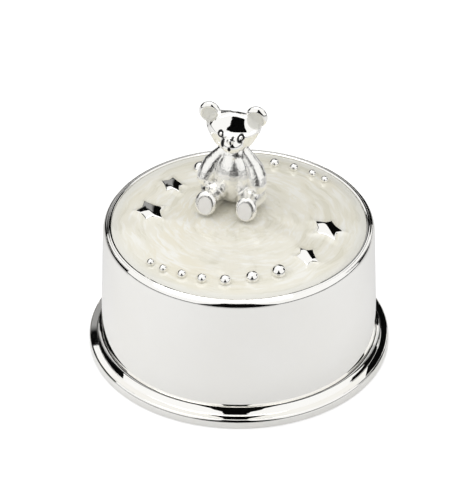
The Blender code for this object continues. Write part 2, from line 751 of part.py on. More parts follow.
def make_bear(drum):
    torso = build("teddy_bear", SILVER, drum, lambda bm: bear_ball(bm, BEAR_BALL_SHARES["torso"]))
    for name, shares in BEAR_BALL_SHARES.items():
        if name != "torso":
            boolean(torso, helper("bear_" + name, lambda bm, s=shares: bear_ball(bm, s)), "UNION")
    reach = BEAR_HEIGHT
    x, y = bear_place
    bore_top = bear_z + BEAR_SCREW_SHARE * BEAR_HEIGHT
    cut(torso, lambda bm: block(
        bm, (x - reach, y - reach, bear_z - reach), (x + reach, y + reach, bear_z)))
    boolean(torso, helper("bear_ear_cups", lambda bm: ear_cup(bm, -1), lambda bm: ear_cup(bm, 1)),
            "DIFFERENCE")
    boolean(torso, helper("bear_bore", lambda bm: post(
        bm, screw_hole, bear_z - OVERRUN, bore_top, bear_place, SMALL_SIDES)), "DIFFERENCE")
    head_z = plate_bottom - GAP
    mesh = screw_mesh("bear_screw", bore_top - GAP - head_z)
    place_screw("bear_screw", mesh, (x, y, head_z), STEEL, drum, flip=True)


# Hub and output post

hub_bore = POST_RADIUS + GAP
hub_radius = hub_bore + HUB_WALL
hub_top = plate_bottom - GAP
hub_screw_radius = (hub_radius + GAP + HUB_FLANGE_RADIUS) / 2
hub_screws = [polar(hub_screw_radius, math.radians(30 + 120 * step)) for step in range(3)]


def make_hub(drum):
    flange_z = hub_top - HUB_FLANGE_THICKNESS
    low = cover_top + GAP
    bore_top = cover_top + POST_HEIGHT + GAP
    hub = build("drive_hub", BRASS, drum, lambda bm: turned(bm, [
        (hub_bore, low), (hub_radius, low), (hub_radius, flange_z),
        (HUB_FLANGE_RADIUS, flange_z), (HUB_FLANGE_RADIUS, hub_top), (0, hub_top),
        (0, bore_top), (hub_bore, bore_top),
    ]))
    grub_z = (low + bore_top) / 2
    cut(hub, lambda bm: rod(
        bm, screw_hole, -hub_radius - OVERRUN, -hub_bore + OVERRUN, 0, grub_z, SMALL_SIDES), *[
        lambda bm, c=c: post(
            bm, screw_hole, flange_z - OVERRUN, hub_top + OVERRUN, c, SMALL_SIDES)
        for c in hub_screws
    ])
    build("hub_grub_screw", STEEL, drum, lambda bm: rod(
        bm, SCREW_RADIUS, -hub_radius, -hub_bore, 0, grub_z, SMALL_SIDES))
    mesh = screw_mesh("hub_screw", hub_top + GAP + PLATE_THICKNESS - GAP - flange_z)
    for number, centre in enumerate(hub_screws, 1):
        place_screw(f"hub_screw_{number}", mesh, (*centre, flange_z - GAP), STEEL, drum,
                    turn=number, flip=True)


# Spring barrel, its cover and crown gear

barrel_bore = barrel_radius - BARREL_WALL


def make_barrel(drum):
    floor = barrel_z + BARREL_FLOOR
    build("barrel", BRASS, drum, lambda bm: turned(bm, [
        (arbor_hole, barrel_z), (barrel_radius, barrel_z), (barrel_radius, barrel_top),
        (barrel_bore, barrel_top), (barrel_bore, floor), (arbor_hole, floor),
    ], 2 * ROUND_SIDES))
    post_top = cover_top + POST_HEIGHT
    build("barrel_cover", BRASS, drum, lambda bm: turned(bm, [
        (0, cover_z), (barrel_radius, cover_z), (barrel_radius, cover_top),
        (POST_RADIUS, cover_top), (POST_RADIUS, post_top), (0, post_top),
    ], 2 * ROUND_SIDES))
    make_mainspring(drum, floor + GAP, barrel_top - GAP)
    build("crown_gear", BRASS, drum, crown_ring)


def make_mainspring(drum, low, high):
    """Spiral strip from the arbor out to the barrel's wall."""
    inner, outer = arbor_hole, barrel_bore - GAP - SPRING_THICKNESS
    steps = SPRING_TURNS * ROUND_SIDES
    radii = [between(inner, outer, step / steps) for step in range(steps + 1)]
    angles = [math.tau * step / ROUND_SIDES for step in range(steps + 1)]
    inside = [polar(r, a) for r, a in zip(radii, angles)]
    outside = [polar(r + SPRING_THICKNESS, a) for r, a in zip(radii, angles)]
    bm = bmesh.new()
    rings = [
        [bm.verts.new((*point, z)) for point, z in ((a, low), (b, low), (b, high), (a, high))]
        for a, b in zip(inside, outside)
    ]
    for ring, following in zip(rings, rings[1:]):
        for side in range(4):
            corner = (side + 1) % 4
            bm.faces.new((ring[side], ring[corner], following[corner], following[side]))
    bm.faces.new(rings[0])
    bm.faces.new(rings[-1])
    link("mainspring", new_mesh("mainspring", bm), BLUED, drum)


CROWN_TIP_SHARE = 0.30
CROWN_ROOT_SHARE = 0.62


def crown_ring(bm):
    """Flat ring with radial teeth that stand up from it."""
    pitch = math.tau / CROWN_TEETH
    turned(bm, [
        (crown_in, crown_z), (crown_out, crown_z), (crown_out, crown_root_z),
        (crown_in, crown_root_z),
    ], 2 * CROWN_TEETH)
    bm.faces.ensure_lookup_table()
    tops = [
        f for f in bm.faces
        if min(v.co.z for v in f.verts) > crown_root_z - GAP / 10
    ]
    tops.sort(key=lambda f: math.atan2(f.calc_center_median().y, f.calc_center_median().x))
    teeth = tops[::2]
    grown = bmesh.ops.extrude_discrete_faces(bm, faces=teeth)["faces"]
    for face in grown:
        middle = face.calc_center_median()
        angle = math.atan2(middle.y, middle.x)
        for vert in face.verts:
            radius = math.hypot(vert.co.x, vert.co.y)
            off = math.atan2(vert.co.y, vert.co.x) - angle
            off = (off + math.pi) % math.tau - math.pi
            x, y = polar(radius, angle + off * CROWN_TIP_SHARE / CROWN_ROOT_SHARE)
            vert.co = (x, y, crown_tip_z)
    bmesh.ops.rotate(
        bm, verts=bm.verts, cent=(0, 0, 0), matrix=Matrix.Rotation(-pitch / 4, 3, "Z"))


# Gears and the pinned cylinder

TOOTH_TIP_SHARE = 0.10
TOOTH_ROOT_SHARE = 0.27


def gear_outline(teeth, module, phase):
    """Outline of a spur gear with one tooth centred on phase; the shares are half widths."""
    pitch_radius = module * teeth / 2
    root = pitch_radius - tooth_dedendum * module
    tip = pitch_radius + tooth_addendum * module
    step = math.tau / teeth
    points = []
    for tooth in range(teeth):
        middle = phase + tooth * step
        for radius, half in ((root, -TOOTH_ROOT_SHARE), (tip, -TOOTH_TIP_SHARE),
                             (tip, TOOTH_TIP_SHARE), (root, TOOTH_ROOT_SHARE)):
            points.append(polar(radius, middle + half * step))
    return points


def along_x(start, y, z):
    """Puts a shape drawn about Z onto an axis along X: its own x becomes +Y and y becomes +Z."""
    turn = Matrix(((0, 0, 1, 0), (1, 0, 0, 0), (0, 1, 0, 0), (0, 0, 0, 1)))
    return Matrix.Translation((start, y, z)) @ turn


def make_gear(name, teeth, module, phase, span, place, hole, look, parent, twist=0):
    """A spur gear between the two x of span, or a slanted one where twist is set."""
    start, end = span

    def shape(bm):
        verts, top = prism(bm, gear_outline(teeth, module, phase - twist / 2), 0, end - start)
        bmesh.ops.rotate(bm, verts=top, cent=(0, 0, 0), matrix=Matrix.Rotation(twist, 3, "Z"))
        bmesh.ops.transform(bm, matrix=along_x(start, *place), verts=verts + top)

    gear = build(name, look, parent, shape)
    cut(gear, lambda bm: rod(bm, hole, start - OVERRUN, end + OVERRUN, *place, SMALL_SIDES))
    return gear


def pin_is_set(row, column):
    """Where the tune has a pin: a plain rising and falling run with a chord under it."""
    run = (column * 5) % (2 * NOTES)
    rising = run if run < NOTES else 2 * NOTES - 1 - run
    return row == rising or (column % 8 == 0 and row % 6 == (column // 8) % 6)


PIN_SIZE_SHARE = 0.42


def pinned_tube(bm):
    """Tube along X whose outer face is a grid, some cells of which are drawn out into pins."""
    rows = NOTES
    turned(bm, [
        (cylinder_radius - CYLINDER_WALL, 0), (cylinder_radius, 0),
        *[(cylinder_radius, cylinder_length * (row + 1) / rows) for row in range(rows)],
        (cylinder_radius - CYLINDER_WALL, cylinder_length),
    ], COLUMNS)
    outer = cylinder_radius * math.cos(math.pi / COLUMNS) - GAP / 10
    pins = []
    for face in bm.faces:
        middle = face.calc_center_median()
        if math.hypot(middle.x, middle.y) < outer:
            continue
        column = round(math.atan2(middle.y, middle.x) / math.tau * COLUMNS - 0.5) % COLUMNS
        row = int(middle.z / cylinder_length * rows)
        if pin_is_set(row, column):
            pins.append(face)
    grown = bmesh.ops.extrude_discrete_faces(bm, faces=pins)["faces"]
    for face in grown:
        middle = face.calc_center_median()
        angle = math.atan2(middle.y, middle.x)
        lift = Vector((*polar(PIN_HEIGHT, angle), 0))
        for vert in face.verts:
            vert.co = middle + (vert.co - middle) * PIN_SIZE_SHARE + lift
    bmesh.ops.transform(bm, matrix=along_x(cylinder_x, 0, axis_z), verts=bm.verts)


def make_cylinder(cylinder):
    build("pinned_cylinder", BRASS, cylinder, pinned_tube)
    disc_radius = cylinder_radius - CYLINDER_WALL - GAP
    for name, start in (("inner", cylinder_x + GAP),
                        ("outer", cylinder_end - GAP - DISC_THICKNESS)):
        disc = build("cylinder_disc_" + name, BRASS, cylinder, lambda bm, s=start: rod(
            bm, disc_radius, s, s + DISC_THICKNESS, 0, axis_z, COLUMNS))
        cut(disc, lambda bm, s=start: rod(
            bm, shaft_hole, s - OVERRUN, s + DISC_THICKNESS + OVERRUN, 0, axis_z, SMALL_SIDES))
    pinion_start, pinion_end = crown_in - RUN / 2, bracket_in_x - RUN / 2
    shaft_end = bracket_out_x + BRACKET_THICKNESS
    build("cylinder_shaft", STEEL, cylinder, lambda bm: rod(
        bm, SHAFT_RADIUS, pinion_start - RUN, shaft_end, 0, axis_z, SMALL_SIDES))
    down = -math.pi / 2
    make_gear("cylinder_pinion", PINION_TEETH, crown_module, down + math.pi / PINION_TEETH,
              (pinion_start, pinion_end), (0, axis_z), shaft_hole, STEEL, cylinder)
    make_gear("cylinder_gear", CYLINDER_GEAR_TEETH, fine_module, -GOVERNOR_DROP_ANGLE,
              (gear_x, gear_x + FINE_WIDTH), (0, axis_z), shaft_hole, BRASS, cylinder)


# Brackets of the cylinder

BRACKET_HEAD_SHARE = 2.2
bracket_in_screw = (bracket_in_x + BRACKET_THICKNESS + BRACKET_FOOT / 2, 0)
bracket_out_screw = (bracket_out_x - BRACKET_FOOT / 2, 0)


def make_bracket(name, x, foot_side, screw_at, mesh, base):
    """Upright plate with a bearing hole, and a foot that is screwed to the bedplate."""
    top = axis_z + BRACKET_HEAD_SHARE * SHAFT_RADIUS
    foot_end = x + BRACKET_THICKNESS + BRACKET_FOOT if foot_side > 0 else x - BRACKET_FOOT
    outline = [
        (x, seat_z), (x, top), (x + BRACKET_THICKNESS, top), (x + BRACKET_THICKNESS, seat_z)]
    foot_top = seat_z + BRACKET_THICKNESS
    if foot_side > 0:
        outline[3:] = [(x + BRACKET_THICKNESS, foot_top), (foot_end, foot_top), (foot_end, seat_z)]
    else:
        outline[:1] = [(foot_end, seat_z), (foot_end, foot_top), (x, foot_top)]
        outline.append((x + BRACKET_THICKNESS, seat_z))
        outline = list(dict.fromkeys(outline))
    stand = Matrix.Rotation(math.pi / 2, 4, "X")
    plate = build("cylinder_bracket_" + name, ZINC, base, lambda bm: prism(
        bm, outline, -BRACKET_HALF_WIDTH, BRACKET_HALF_WIDTH, stand))
    cut(plate, lambda bm: rod(
        bm, shaft_hole, x - OVERRUN, x + BRACKET_THICKNESS + OVERRUN, 0, axis_z, SMALL_SIDES),
        lambda bm: post(bm, screw_hole, seat_z - OVERRUN, foot_top + OVERRUN, screw_at,
                        SMALL_SIDES))
    place_screw("bracket_screw_" + name, mesh, (*screw_at, foot_top + GAP), STEEL, base)


def make_brackets(base):
    foot_top = seat_z + BRACKET_THICKNESS
    mesh = screw_mesh("bracket_screw", foot_top + GAP - bedplate_z)
    make_bracket("inner", bracket_in_x, 1, bracket_in_screw, mesh, base)
    make_bracket("outer", bracket_out_x, -1, bracket_out_screw, mesh, base)


# Comb

comb_tip_y = -(tip_radius + GAP)
comb_half = math.sqrt(movement_radius**2 - cylinder_end**2)
comb_back_y = -comb_half + GAP
comb_root_y = comb_back_y + COMB_BAR_DEPTH
COMB_SCREW_SHARES = (0.2, 0.8)
COMB_SHORT_SHARE = 0.35


def comb_outline():
    """Bar with one tooth for each note; the slots grow shallower towards the high notes."""
    pitch = cylinder_length / NOTES
    points = [(cylinder_end, comb_back_y), (cylinder_end, comb_tip_y)]
    for note in range(NOTES - 1, 0, -1):
        x = cylinder_x + pitch * note
        depth = between(1, COMB_SHORT_SHARE, note / NOTES)
        root = between(comb_tip_y, comb_root_y, depth)
        points += [
            (x + COMB_SLOT / 2, comb_tip_y), (x + COMB_SLOT / 2, root),
            (x - COMB_SLOT / 2, root), (x - COMB_SLOT / 2, comb_tip_y),
        ]
    return points + [(cylinder_x, comb_tip_y), (cylinder_x, comb_back_y)]


def make_comb(base):
    comb_z = axis_z - COMB_THICKNESS / 2
    comb_top = comb_z + COMB_THICKNESS
    comb = build("comb", STEEL, base, lambda bm: prism(bm, comb_outline(), comb_z, comb_top))
    block_top = comb_z - GAP
    stand = build("comb_base", ZINC, base, lambda bm: block(
        bm, (cylinder_x, comb_back_y, seat_z), (cylinder_end, comb_root_y - GAP, block_top)))
    y = comb_back_y + COMB_BAR_DEPTH / 2
    places = [(between(cylinder_x, cylinder_end, share), y) for share in COMB_SCREW_SHARES]
    depth = BRACKET_FOOT
    cut(comb, *[lambda bm, c=c: post(
        bm, screw_hole, comb_z - OVERRUN, comb_top + OVERRUN, c, SMALL_SIDES) for c in places])
    cut(stand, *[lambda bm, c=c: post(
        bm, screw_hole, block_top - depth, block_top + OVERRUN, c, SMALL_SIDES) for c in places])
    mesh = screw_mesh("comb_screw", comb_top + GAP - block_top + depth - GAP)
    for number, centre in enumerate(places, 1):
        place_screw(f"comb_screw_{number}", mesh, (*centre, comb_top + GAP), BLUED, base,
                    turn=number)


# Governor

worm_low = governor_z - worm_length / 2
worm_high = governor_z + worm_length / 2
worm_tip = worm_radius + tooth_addendum * fine_module
vane_high = governor_z - wheel_radius - fine_module - RUN
vane_low = vane_high - VANE_HEIGHT
arm_low_top = vane_low - RUN
arm_high_z = max(worm_high, governor_z + wheel_radius + fine_module) + RUN
cheek_near = governor_y - wheel_radius
cheek_far = min(worm_y - VANE_RADIUS, worm_y - worm_tip) - RUN
governor_screw = (cheek_in_x, worm_y + ARM_WIDTH / 2 + GAP + screw_head)


def frame_foot_outline():
    """Foot under both cheeks, with a tab for the screw beside the lower arm."""
    left, right = cheek_in_x - GAP, cheek_out_x + CHEEK_THICKNESS + GAP
    near, far = cheek_near - GAP, cheek_far + GAP
    x, y = governor_screw
    return [
        (left, near), (right, near), (right, far), (x + screw_head, far),
        (x + screw_head, y + screw_head), (x - screw_head, y + screw_head),
        (x - screw_head, far), (left, far),
    ]


def governor_cheek(bm, x):
    """Upright plate that starts inside the foot and stands a little above the upper arm."""
    low = seat_z + CHEEK_THICKNESS / 2
    top = arm_high_z + CHEEK_THICKNESS + GAP
    block(bm, (x, cheek_near, low), (x + CHEEK_THICKNESS, cheek_far, top))


def governor_arm(bm, low):
    """Arm between the cheeks that reaches out to the worm's pivot."""
    block(bm, (worm_x - ARM_WIDTH / 2, cheek_far - CHEEK_THICKNESS, low),
          (worm_x + ARM_WIDTH / 2, worm_y + ARM_WIDTH / 2, low + CHEEK_THICKNESS))


def make_governor_frame(base):
    foot_top = seat_z + CHEEK_THICKNESS
    outer = cheek_out_x + CHEEK_THICKNESS
    frame = build("governor_frame", ZINC, base, lambda bm: prism(
        bm, frame_foot_outline(), seat_z, foot_top))
    for name, step in (
        ("cheek_in", lambda bm: governor_cheek(bm, cheek_in_x)),
        ("cheek_out", lambda bm: governor_cheek(bm, cheek_out_x)),
        ("arm_low", lambda bm: governor_arm(bm, arm_low_top - CHEEK_THICKNESS)),
        ("arm_high", lambda bm: governor_arm(bm, arm_high_z)),
    ):
        boolean(frame, helper("governor_" + name, step), "UNION")
    cut(frame, lambda bm: rod(
        bm, pivot_hole, cheek_in_x - OVERRUN, outer + OVERRUN, governor_y, governor_z,
        SMALL_SIDES),
        lambda bm: post(bm, pivot_hole, arm_low_top - CHEEK_THICKNESS - OVERRUN,
                        arm_high_z + CHEEK_THICKNESS + OVERRUN, (worm_x, worm_y), SMALL_SIDES),
        lambda bm: post(bm, screw_hole, seat_z - OVERRUN, foot_top + OVERRUN, governor_screw,
                        SMALL_SIDES))
    mesh = screw_mesh("governor_screw", foot_top + GAP - bedplate_z)
    place_screw("governor_screw", mesh, (*governor_screw, foot_top + GAP), STEEL, base, turn=1)


def make_governor_wheel(governor):
    place = (governor_y, governor_z)
    outer = cheek_out_x + CHEEK_THICKNESS
    pinion_end = gear_x + FINE_WIDTH
    build("governor_shaft", STEEL, governor, lambda bm: rod(
        bm, PIVOT_RADIUS, gear_x - RUN, outer, *place, SMALL_SIDES))
    facing = math.pi - GOVERNOR_DROP_ANGLE
    make_gear("governor_pinion", GOVERNOR_PINION_TEETH, fine_module,
              facing + math.pi / GOVERNOR_PINION_TEETH, (gear_x, pinion_end), place, pivot_hole,
              BRASS, governor)
    wheel_x = worm_x - wheel_width / 2
    lead_slope = WORM_STARTS * fine_module / (2 * worm_radius)
    twist = wheel_width * lead_slope / wheel_radius
    make_gear("governor_wheel", WHEEL_TEETH, fine_module, math.pi / WHEEL_TEETH,
              (wheel_x, wheel_x + wheel_width), place, pivot_hole, BRASS, governor, twist)


THREAD_LEVELS = 6
THREAD_TIP_SHARE = 0.10
THREAD_ROOT_SHARE = 0.27


def thread_radius(phase):
    """Radius of the worm at a phase of 0 to 1 across one thread, which is centred on 0.5."""
    root = worm_radius - tooth_dedendum * fine_module
    off = abs(phase - 0.5)
    if off <= THREAD_TIP_SHARE:
        return worm_tip
    if off >= THREAD_ROOT_SHARE:
        return root
    share = (off - THREAD_TIP_SHARE) / (THREAD_ROOT_SHARE - THREAD_TIP_SHARE)
    return between(worm_tip, root, share)


def worm_body(bm):
    """Shaft and thread in one: rings of points whose radius follows the thread."""
    axial_pitch = math.pi * fine_module
    levels = round(worm_length / axial_pitch * THREAD_LEVELS)
    rings = []
    ends = ((arm_low_top - CHEEK_THICKNESS, PIVOT_RADIUS), (worm_low, PIVOT_RADIUS))
    for z, radius in ends:
        rings.append([(*polar(radius, math.tau * s / ROUND_SIDES), z) for s in range(ROUND_SIDES)])
    for level in range(levels + 1):
        z = between(worm_low, worm_high, level / levels)
        ring = []
        for side in range(ROUND_SIDES):
            angle = math.tau * side / ROUND_SIDES
            turn = (z - governor_z) / axial_pitch - angle / math.tau * WORM_STARTS
            ring.append((*polar(thread_radius(turn % 1.0), angle), z))
        rings.append(ring)
    for z, radius in ((worm_high, PIVOT_RADIUS), (arm_high_z + CHEEK_THICKNESS, PIVOT_RADIUS)):
        rings.append([(*polar(radius, math.tau * s / ROUND_SIDES), z) for s in range(ROUND_SIDES)])
    made = [[bm.verts.new(point) for point in ring] for ring in rings]
    for ring, following in zip(made, made[1:]):
        for side in range(ROUND_SIDES):
            after = (side + 1) % ROUND_SIDES
            bm.faces.new((ring[side], ring[after], following[after], following[side]))
    bm.faces.new(made[0])
    bm.faces.new(made[-1])
    bmesh.ops.translate(bm, verts=bm.verts, vec=(worm_x, worm_y, 0))


def make_fly(fly):
    build("worm_shaft", STEEL, fly, worm_body)
    hub = pivot_hole + VANE_THICKNESS
    vanes = build("fly_vanes", VANE, fly, lambda bm: block(
        bm, (worm_x - VANE_RADIUS, worm_y - VANE_THICKNESS / 2, vane_low),
        (worm_x + VANE_RADIUS, worm_y + VANE_THICKNESS / 2, vane_high)))
    join(vanes, lambda bm: post(bm, hub, vane_low, vane_high, (worm_x, worm_y), SMALL_SIDES))
    cut(vanes, lambda bm: post(
        bm, pivot_hole, vane_low - OVERRUN, vane_high + OVERRUN, (worm_x, worm_y), SMALL_SIDES))


def main():
    clear_scene()
    base = axis_empty("base_origin", (0, 0, 0))
    winder = axis_empty("winder_axis", (0, 0, 0))
    drum = axis_empty("drum_axis", (0, 0, 0))
    cylinder = axis_empty("cylinder_axis", (0, 0, axis_z))
    governor = axis_empty("governor_axis", (0, governor_y, governor_z))
    fly = axis_empty("fly_axis", (worm_x, worm_y, 0))
    make_foot(base)
    make_bedplate(base)
    make_brackets(base)
    make_comb(base)
    make_governor_frame(base)
    make_winder(winder)
    make_shell(drum)
    make_top(drum)
    make_bear(drum)
    make_hub(drum)
    make_barrel(drum)
    make_cylinder(cylinder)
    make_governor_wheel(governor)
    make_fly(fly)


main()
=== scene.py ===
import json
import math

import bmesh
import bpy
import numpy as np
from mathutils import Matrix, Vector


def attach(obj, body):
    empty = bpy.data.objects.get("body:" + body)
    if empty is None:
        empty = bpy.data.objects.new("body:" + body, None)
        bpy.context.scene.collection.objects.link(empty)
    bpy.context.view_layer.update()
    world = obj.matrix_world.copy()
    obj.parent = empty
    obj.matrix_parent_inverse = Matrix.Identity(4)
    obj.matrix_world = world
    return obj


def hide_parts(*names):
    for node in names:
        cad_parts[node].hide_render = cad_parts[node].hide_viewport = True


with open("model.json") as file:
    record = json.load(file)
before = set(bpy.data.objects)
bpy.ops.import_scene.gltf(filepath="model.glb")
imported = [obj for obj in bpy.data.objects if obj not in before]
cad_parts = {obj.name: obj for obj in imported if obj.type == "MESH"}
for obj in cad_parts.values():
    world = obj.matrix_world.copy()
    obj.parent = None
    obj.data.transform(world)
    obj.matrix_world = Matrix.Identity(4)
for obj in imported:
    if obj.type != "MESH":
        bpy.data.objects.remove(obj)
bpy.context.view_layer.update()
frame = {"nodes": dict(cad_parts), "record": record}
mm = 0.001
print("frame loaded:", len(frame["nodes"]), "nodes")


# meshes


def addObject(name, data):
    new = bpy.data.objects.new(name, data)
    bpy.context.scene.collection.objects.link(new)
    return new


def meshPiece(name, verts, faces, mat, sharpAngle=40):
    # verts are in millimetres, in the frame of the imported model
    mesh = bpy.data.meshes.new(name)
    mesh.from_pydata([tuple(v) for v in np.asarray(verts, float) * mm], [], faces)
    mesh.validate()
    bm = bmesh.new()
    bm.from_mesh(mesh)
    bmesh.ops.recalc_face_normals(bm, faces=bm.faces)
    bm.to_mesh(mesh)
    bm.free()
    mesh.shade_smooth()
    mesh.set_sharp_from_angle(angle=math.radians(sharpAngle))
    mesh.materials.append(mat)
    return addObject(name, mesh)


def place(piece, body, slot, *nodes):
    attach(piece, body)
    if nodes:
        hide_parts(*nodes)
    print("piece:", piece.name, len(piece.data.polygons), "faces")


def bridge(faces, here, there, count, closed=True):
    # faces between two rows of count points, whose numbers start at here and there
    for i in range(count if closed else count - 1):
        j = (i + 1) % count
        faces.append((here + i, there + i, there + j, here + j))


def lathe(verts, faces, profile, segments, centre=(0, 0), loop=True):
    # turns (radius, height) points round the vertical through centre; loop closes the profile
    start, count = len(verts), len(profile)
    for step in range(segments):
        angle = math.tau * step / segments
        c, s = math.cos(angle), math.sin(angle)
        verts.extend((centre[0] + r * c, centre[1] + r * s, z) for r, z in profile)
    for step in range(segments):
        bridge(faces, start + step * count, start + (step + 1) % segments * count, count, loop)


def arc(centre, radius, fromDeg, toDeg, steps):
    angles = np.radians(np.linspace(fromDeg, toDeg, steps + 1))
    return [(centre[0] + radius * math.cos(a), centre[1] + radius * math.sin(a)) for a in angles]


def softCurve(points, perSpan=6):
    # smooth line through (radius, height) points
    p = [points[0]] + list(points) + [points[-1]]
    out = []
    for a, b, c, d in zip(p, p[1:], p[2:], p[3:]):
        for step in range(perSpan):
            t = step / perSpan
            out.append(tuple(
                (2 * b[k] + (c[k] - a[k]) * t + (2 * a[k] - 5 * b[k] + 4 * c[k] - d[k]) * t**2
                 + (3 * b[k] - a[k] - 3 * c[k] + d[k]) * t**3) / 2 for k in (0, 1)))
    return out + [points[-1]]


# finishes


def newFinish(name):
    mat = bpy.data.materials.new(name)
    mat.use_nodes = True
    return mat, mat.node_tree.nodes["Principled BSDF"]


def addNode(mat, kind, inputs=None, **settings):
    # a node with its sockets fed by values or by other nodes' outputs; mat may be the world
    new = mat.node_tree.nodes.new("ShaderNode" + kind)
    for key, value in settings.items():
        setattr(new, key, value)
    for socket, value in (inputs or {}).items():
        if isinstance(value, bpy.types.NodeSocket):
            mat.node_tree.links.new(value, new.inputs[socket])
        else:
            new.inputs[socket].default_value = value
    return new


def feed(mat, source, shader, socket):
    mat.node_tree.links.new(source, shader.inputs[socket])


def objectPoint(mat):
    return addNode(mat, "TexCoord").outputs["Object"]


def coords(mat, stretch=(1, 1, 1)):
    # object coordinates in millimetres
    scale = [s / mm for s in stretch]
    return addNode(mat, "Mapping", {"Vector": objectPoint(mat), "Scale": scale}).outputs[0]


def noise(mat, vector, scale, detail=3, rough=0.5, warp=0):
    return addNode(mat, "TexNoise", {
        "Vector": vector, "Scale": scale, "Detail": detail, "Roughness": rough, "Distortion": warp})


def maths(mat, operation, a, b=0.0, clamp=False):
    return addNode(mat, "Math", {0: a, 1: b}, operation=operation, use_clamp=clamp).outputs[0]


def vectorMaths(mat, operation, a, b=None):
    # SCALE takes a number as b; LENGTH and NORMALIZE take none
    inputs = {0: a}
    if b is not None:
        inputs["Scale" if operation == "SCALE" else 1] = b
    outputs = addNode(mat, "VectorMath", inputs, operation=operation).outputs
    return outputs["Value" if operation == "LENGTH" else "Vector"]


def between(mat, value, low, high, toLow, toHigh):
    return addNode(mat, "MapRange", {
        "Value": value, "From Min": low, "From Max": high, "To Min": toLow, "To Max": toHigh,
    }, clamp=True).outputs[0]


def blendColour(mat, share, first, second):
    new = addNode(mat, "Mix", data_type="RGBA")
    for socket, value in ((0, share), (6, first), (7, second)):
        if isinstance(value, bpy.types.NodeSocket):
            mat.node_tree.links.new(value, new.inputs[socket])
        else:
            new.inputs[socket].default_value = value if socket == 0 else (*value, 1)
    return new.outputs[2]


def anyOf(mat, shares):
    total = shares[0]
    for share in shares[1:]:
        total = maths(mat, "MAXIMUM", total, share)
    return total


def surfaceBump(mat, height, strength, distance):
    return addNode(mat, "Bump", {
        "Height": height, "Strength": strength, "Distance": distance * mm}).outputs[0]


metalGrain = {  # how the noises of every metal are drawn, and the part of each that counts
    "cloudDetail": 4, "cloudSpread": (0.35, 0.7),
    "fineDetail": 6, "fineRoughness": 0.65, "fineSpread": (0.3, 0.75),
    "waveDetail": 2,
}


def metalNoises(mat, look):
    # slow clouds, and fine scratches along the brush
    cloud = noise(mat, coords(mat), look["cloudScale"], metalGrain["cloudDetail"]).outputs[0]
    fine = noise(mat, coords(mat, look.get("brush", (1, 1, 1))), look["grainScale"],
                 metalGrain["fineDetail"], metalGrain["fineRoughness"]).outputs[0]
    return cloud, fine


def metalGloss(mat, look, fine):
    return between(mat, fine, *metalGrain["fineSpread"], *look["roughness"])


def metalFinish(name, look):
    # polished or brushed metal: clouded colour, fine scratches in the gloss, faint unevenness
    mat, shader = newFinish(name)
    shader.inputs["Metallic"].default_value = 1
    cloud, fine = metalNoises(mat, look)
    share = between(mat, cloud, *metalGrain["cloudSpread"], 0, 1)
    feed(mat, blendColour(mat, share, look["colour"], look["clouded"]), shader, "Base Color")
    feed(mat, metalGloss(mat, look, fine), shader, "Roughness")
    wave = noise(mat, coords(mat), look["waveScale"], metalGrain["waveDetail"]).outputs[0]
    height = maths(mat, "ADD", wave, maths(mat, "MULTIPLY", fine, look["grainHeight"]))
    feed(mat, surfaceBump(mat, height, 1.0, look["unevenness"]), shader, "Normal")
    return mat


metalLooks = {
    "polishedSilver": {
        "colour": (0.960, 0.952, 0.926), "clouded": (0.945, 0.934, 0.902), "cloudScale": 0.06,
        "grainScale": 1.3, "grainHeight": 0.01, "roughness": (0.012, 0.04),
        "waveScale": 0.09, "unevenness": 0.012},
    "turnedBrass": {
        "colour": (0.80, 0.62, 0.30), "clouded": (0.68, 0.50, 0.22), "cloudScale": 0.12,
        "grainScale": 1.1, "grainHeight": 0.3, "roughness": (0.20, 0.38), "brush": (1, 1, 6),
        "waveScale": 0.4, "unevenness": 0.02},
    "plainSteel": {
        "colour": (0.56, 0.57, 0.59), "clouded": (0.45, 0.46, 0.48), "cloudScale": 0.2,
        "grainScale": 1.4, "grainHeight": 0.4, "roughness": (0.24, 0.42), "brush": (5, 1, 1),
        "waveScale": 0.5, "unevenness": 0.015},
    "bluedSteel": {
        "colour": (0.15, 0.18, 0.26), "clouded": (0.20, 0.17, 0.19), "cloudScale": 0.18,
        "grainScale": 1.5, "grainHeight": 0.4, "roughness": (0.28, 0.45), "brush": (1, 1, 4),
        "waveScale": 0.4, "unevenness": 0.015},
    "zincPlate": {
        "colour": (0.62, 0.62, 0.61), "clouded": (0.52, 0.53, 0.54), "cloudScale": 0.25,
        "grainScale": 0.9, "grainHeight": 1.2, "roughness": (0.40, 0.60),
        "waveScale": 0.7, "unevenness": 0.05},
}


vaneLook = {
    "dark": (0.15, 0.15, 0.155), "pale": (0.21, 0.21, 0.21),
    "grain": (2.5, 4, 0.7), "grainSpread": (0.3, 0.7),  # grain: scale, detail, roughness
    "roughness": (0.5, 0.68), "bump": 0.6, "unevenness": 0.03,
}


def vaneFinish():
    look = vaneLook
    mat, shader = newFinish("mouldedVane")
    grain = noise(mat, coords(mat), *look["grain"]).outputs[0]
    feed(mat, blendColour(mat, grain, look["dark"], look["pale"]), shader, "Base Color")
    gloss = between(mat, grain, *look["grainSpread"], *look["roughness"])
    feed(mat, gloss, shader, "Roughness")
    feed(mat, surfaceBump(mat, grain, look["bump"], look["unevenness"]), shader, "Normal")
    return mat


